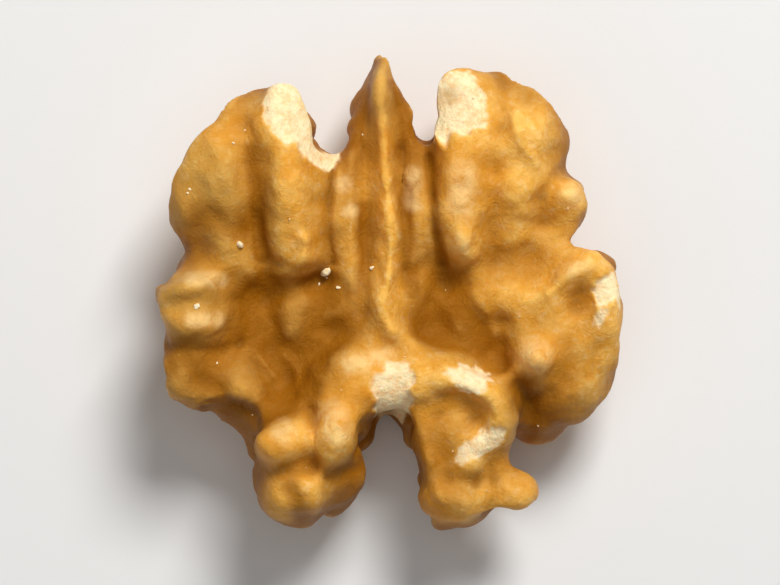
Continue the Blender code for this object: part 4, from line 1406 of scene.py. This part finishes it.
@dataclass
class Crumbs:
    """Pale crumbs of broken flesh that lie on the inner face, set out by Geometry Nodes."""

    loose: int = 22
    smallest: float = 0.05
    largest: float = 0.13
    seed: int = 8
    least_upward: float = 0.75
    least_height: float = 6.0
    height_pull: float = 0.05
    proportions: tuple[float, float, float] = (1.0, 0.72, 0.55)
    roundness: int = 3
    unevenness: float = 0.3
    dents: Mottle = Mottle(4.0, 2.0, 0.5)
    finish: CrumbFinish = field(default_factory=CrumbFinish)

    def places(self, skin: Skin) -> tuple[np.ndarray, np.ndarray]:
        """Where the crumbs lie and how big they are.

        Args:
            skin: The kernel, in millimetres.

        Returns:
            Their middles and their radii.
        """
        points, upward = skin.points(), skin.normals()[:, 2]
        rng = np.random.default_rng(self.seed)
        high = points[:, 2] > self.least_height
        open_face = np.flatnonzero((upward > self.least_upward) & high)
        picked = list(rng.choice(open_face, self.loose, replace=False))
        radii = list(rng.uniform(self.smallest, self.largest, self.loose))
        for x, y, radius in CRUMB_SPOTS:
            away = np.hypot(points[:, 0] - x, points[:, 1] - y)
            picked.append(int(np.argmin(away - self.height_pull * points[:, 2])))
            radii.append(radius)
        return points[picked], np.array(radii)

    def tree(self) -> bpy.types.NodeTree:
        """Makes the node tree: an uneven grain on each point, with named inputs.

        Returns:
            The node tree.
        """
        w, given = new_tree("crumbs", {"Unevenness": "Float", "Seed": "Int"})
        ball = w.add("GeometryNodeMeshIcoSphere", {"Radius": 1.0, "Subdivisions": self.roundness})
        grain = w.add("GeometryNodeTransform", {"Geometry": ball["Mesh"],
                                                "Scale": self.proportions})
        turn = w.add("FunctionNodeRandomValue", {1: (math.tau,) * 3, "Seed": given["Seed"]},
                     data_type="FLOAT_VECTOR")[0]
        size = w.add("GeometryNodeInputNamedAttribute", {"Name": "crumb_size"},
                     data_type="FLOAT")[0]
        spots = w.add("GeometryNodeMeshToPoints", {"Mesh": given["Geometry"]})[0]
        laid = w.add("GeometryNodeInstanceOnPoints", {"Points": spots, "Instance": grain[0],
                                                      "Scale": size, "Rotation": turn})
        real = w.add("GeometryNodeRealizeInstances", {0: laid[0]})
        noise = w.noise(w.add("GeometryNodeInputPosition")[0], self.dents, 1)
        push = w.vector("SUBTRACT", noise, (0.5, 0.5, 0.5))
        step = w.vector("SCALE", push, given["Unevenness"])
        moved = w.add("GeometryNodeSetPosition", {"Geometry": real[0], "Offset": step})
        return end_tree(w, moved[0], given["Material"])

    def build(self, skin: Skin) -> bpy.types.Object:
        """Lays the crumbs on the kernel and makes them ride with it.

        Args:
            skin: The kernel, in millimetres.

        Returns:
            The finished piece, in metres.
        """
        spots, radii = self.places(skin)
        bm = bmesh.new()
        for spot in spots:
            bm.verts.new(spot)
        crumbs = Skin("pale_crumbs", bm)
        crumbs.store("crumb_size", radii)
        run_tree(crumbs, self.tree(), {"Unevenness": self.unevenness, "Seed": self.seed,
                                       "Material": self.finish.material()})
        crumbs.to_metres()
        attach(crumbs.ob, BODY)
        return crumbs.ob


@dataclass
class Kernel:
    """The whole kernel: its form, its finer relief and its finish."""

    length: float = 32.2
    width: float = 31.5
    grain: float = 0.215
    melt_rounds: tuple[int, int] = (2, 1)
    triangle_limit: int = 196000
    flat_depth: float = 0.5
    levelling_rounds: int = 3
    rest_starts: tuple[int, ...] = (30, 150, 270)
    rest_turn: int = 120
    rest_near: float = 3.0
    rest_far: float = 7.5
    form: KernelForm = field(default_factory=KernelForm)
    face: InnerFace = field(default_factory=InnerFace)
    back: RoundedBack = field(default_factory=RoundedBack)
    chips: ChippedSkin = field(default_factory=ChippedSkin)
    marks: SurfaceMarks = field(default_factory=SurfaceMarks)
    texture: SkinGrain = field(default_factory=SkinGrain)
    finish: KernelFinish = field(default_factory=KernelFinish)
    crumbs: Crumbs = field(default_factory=Crumbs)

    def keep_largest_body(self, skin: Skin) -> None:
        """Drops loose scraps that the melting left.

        Args:
            skin: The kernel.
        """
        bm = bmesh.new()
        bm.from_mesh(skin.ob.data)
        bodies: list[set[bmesh.types.BMVert]] = []
        unseen = set(bm.verts)
        while unseen:
            body: set[bmesh.types.BMVert] = set()
            front = [unseen.pop()]
            while front:
                vertex = front.pop()
                body.add(vertex)
                for edge in vertex.link_edges:
                    beside = edge.other_vert(vertex)
                    if beside in unseen:
                        unseen.discard(beside)
                        front.append(beside)
            bodies.append(body)
        bodies.sort(key=len)
        for body in bodies[:-1]:
            bmesh.ops.delete(bm, geom=list(body), context="VERTS")
        bm.to_mesh(skin.ob.data)
        bm.free()

    def fit_box(self, skin: Skin) -> None:
        """Brings the kernel to its length and width, centred over the origin.

        Args:
            skin: The kernel.
        """
        points = skin.points()
        low, high = points.min(axis=0), points.max(axis=0)
        log.info("before fitting it reaches from %s to %s mm", low.round(2), high.round(2))
        points[:, :2] -= (low + high)[:2] / 2
        points[:, 0] *= self.width / (high - low)[0]
        points[:, 1] *= self.length / (high - low)[1]
        skin.move(points)

    def level_low_folds(self, skin: Skin) -> None:
        """Leans the kernel until its lowest folds, one in each third round, are level.

        Args:
            skin: The kernel.
        """
        for _ in range(self.levelling_rounds):
            points = skin.points()
            bearing = np.degrees(np.arctan2(points[:, 1], points[:, 0]))
            away = np.hypot(points[:, 0], points[:, 1])
            ring = (away > self.rest_near) & (away < self.rest_far)
            lows = []
            for start in self.rest_starts:
                third = ring & ((bearing - start) % 360 < self.rest_turn)
                lows.append(points[third][np.argmin(points[third, 2])])
            rows = np.array(lows)
            lean = np.linalg.solve(np.column_stack((rows[:, :2], np.ones(3))), rows[:, 2])
            points[:, 2] -= points[:, :2] @ lean[:2]
            skin.move(points)

    def lay_down(self, skin: Skin) -> None:
        """Flattens the lowest folds, puts them on the floor and keeps inside the frame's box.

        Args:
            skin: The kernel.
        """
        low, high = (np.array(corner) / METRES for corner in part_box(NODE))
        points = skin.points()
        points[:, 2] = np.maximum(points[:, 2] - points[:, 2].min() - self.flat_depth, 0.0)
        for axis in (0, 1):
            span = points[:, axis].max() - points[:, axis].min()
            points[:, axis] -= (points[:, axis].max() + points[:, axis].min()) / 2
            points[:, axis] *= (high - low)[axis] / span
            points[:, axis] += (high + low)[axis] / 2
        points[:, 2] *= high[2] / points[:, 2].max()
        skin.move(points)

    def build(self) -> list[bpy.types.Object]:
        """Builds the kernel with its crumbs and makes both ride in the frame.

        Returns:
            The finished pieces, in metres.
        """
        skin = self.form.build()
        first, second = self.melt_rounds
        skin.melt(self.grain, first)
        self.face.draw(skin, STROKES)
        self.back.carve(skin)
        skin.melt(self.grain, second)
        self.face.draw(skin, FINE_STROKES)
        self.texture.lump(skin)
        self.keep_largest_body(skin)
        self.fit_box(skin)
        self.level_low_folds(skin)
        self.marks.keep(skin)
        self.chips.cut(skin)
        self.texture.wrinkle(skin, self.finish.material())
        self.lay_down(skin)
        skin.bake("TRIANGULATE")
        count = len(skin.ob.data.polygons)
        if count > self.triangle_limit:
            skin.bake("DECIMATE", ratio=self.triangle_limit / count)
        crumbs = self.crumbs.build(skin)
        skin.to_metres()
        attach(skin.ob, BODY)
        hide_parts(NODE)
        return [skin.ob, crumbs]


class Lamp(Enum):
    """The soft lights of the studio: place, size and power of each, in metres and watts."""

    WINDOW = ((0.12, 0.30, 0.38), 0.18, 2.6)
    FILL = ((-0.28, -0.26, 0.34), 0.40, 0.25)
    OVERHEAD = ((0.0, 0.0, 0.60), 0.40, 0.45)


@dataclass(frozen=True)
class FloorFinish:
    """The pale, matt floor."""

    tone: tuple[float, ...] = (0.78, 0.77, 0.75, 1.0)
    roughness: float = 0.85

    def material(self) -> bpy.types.Material:
        """Builds the material.

        Returns:
            The material.
        """
        made, w, shader = new_material("pale_floor")
        w.feed(shader, {"Base Color": self.tone, "Roughness": self.roughness})
        return made


@dataclass
class Studio:
    """A plain pale floor, soft lights and a camera that looks straight down."""

    floor_size: float = 3.0
    floor_drop: float = 0.00003
    camera_height: float = 0.42
    view_width: float = 0.0525
    sensor_width: float = 36.0
    clip: tuple[float, float] = (0.01, 10.0)
    aim: tuple[float, float, float] = (0.0, 0.0, 0.008)
    sky_tone: tuple[float, ...] = (0.95, 0.97, 1.0, 1.0)
    sky_strength: float = 0.14
    finish: FloorFinish = field(default_factory=FloorFinish)

    def floor(self) -> None:
        """Lays the floor just under the kernel."""
        bm = bmesh.new()
        bmesh.ops.create_grid(bm, x_segments=1, y_segments=1, size=self.floor_size / 2)
        bmesh.ops.translate(bm, vec=(0.0, 0.0, -self.floor_drop), verts=bm.verts)
        ob = Skin("floor", bm).ob
        ob.data.materials.append(self.finish.material())

    def lights(self) -> None:
        """Hangs the lights and sets the pale surroundings."""
        for lamp in Lamp:
            place, size, power = lamp.value
            data = bpy.data.lights.new(lamp.name.lower(), "AREA")
            data.energy, data.size = power, size
            ob = bpy.data.objects.new(lamp.name.lower(), data)
            ob.location = place
            towards = Vector(self.aim) - ob.location
            ob.rotation_euler = towards.to_track_quat("-Z", "Y").to_euler()
            bpy.context.scene.collection.objects.link(ob)
        world = bpy.data.worlds.new("studio")
        world.use_nodes = True
        sky = {"Color": self.sky_tone, "Strength": self.sky_strength}
        Wiring(world.node_tree).feed(world.node_tree.nodes["Background"], sky)
        bpy.context.scene.world = world

    def camera(self) -> None:
        """Hangs the camera over the kernel, with the tip of the spine at the top."""
        data = bpy.data.cameras.new("camera")
        data.sensor_width = self.sensor_width
        data.lens = data.sensor_width * (self.camera_height - self.aim[2]) / self.view_width
        data.clip_start, data.clip_end = self.clip
        ob = bpy.data.objects.new("camera", data)
        ob.location = (self.aim[0], self.aim[1], self.camera_height)
        bpy.context.scene.collection.objects.link(ob)
        bpy.context.scene.camera = ob

    def build(self) -> None:
        """Sets the whole studio up."""
        self.floor()
        self.lights()
        self.camera()
        bpy.context.scene.view_settings.view_transform = "Standard"


def main() -> None:
    """Builds the pieces in order and reports each."""
    logging.basicConfig(level=logging.INFO, format="%(name)s: %(message)s")
    for piece in Kernel().build():
        log.info("%s has %d faces", piece.name, len(piece.data.polygons))
    Studio().build()
    log.info("studio is set up")


if __name__ == "__main__":
    main()
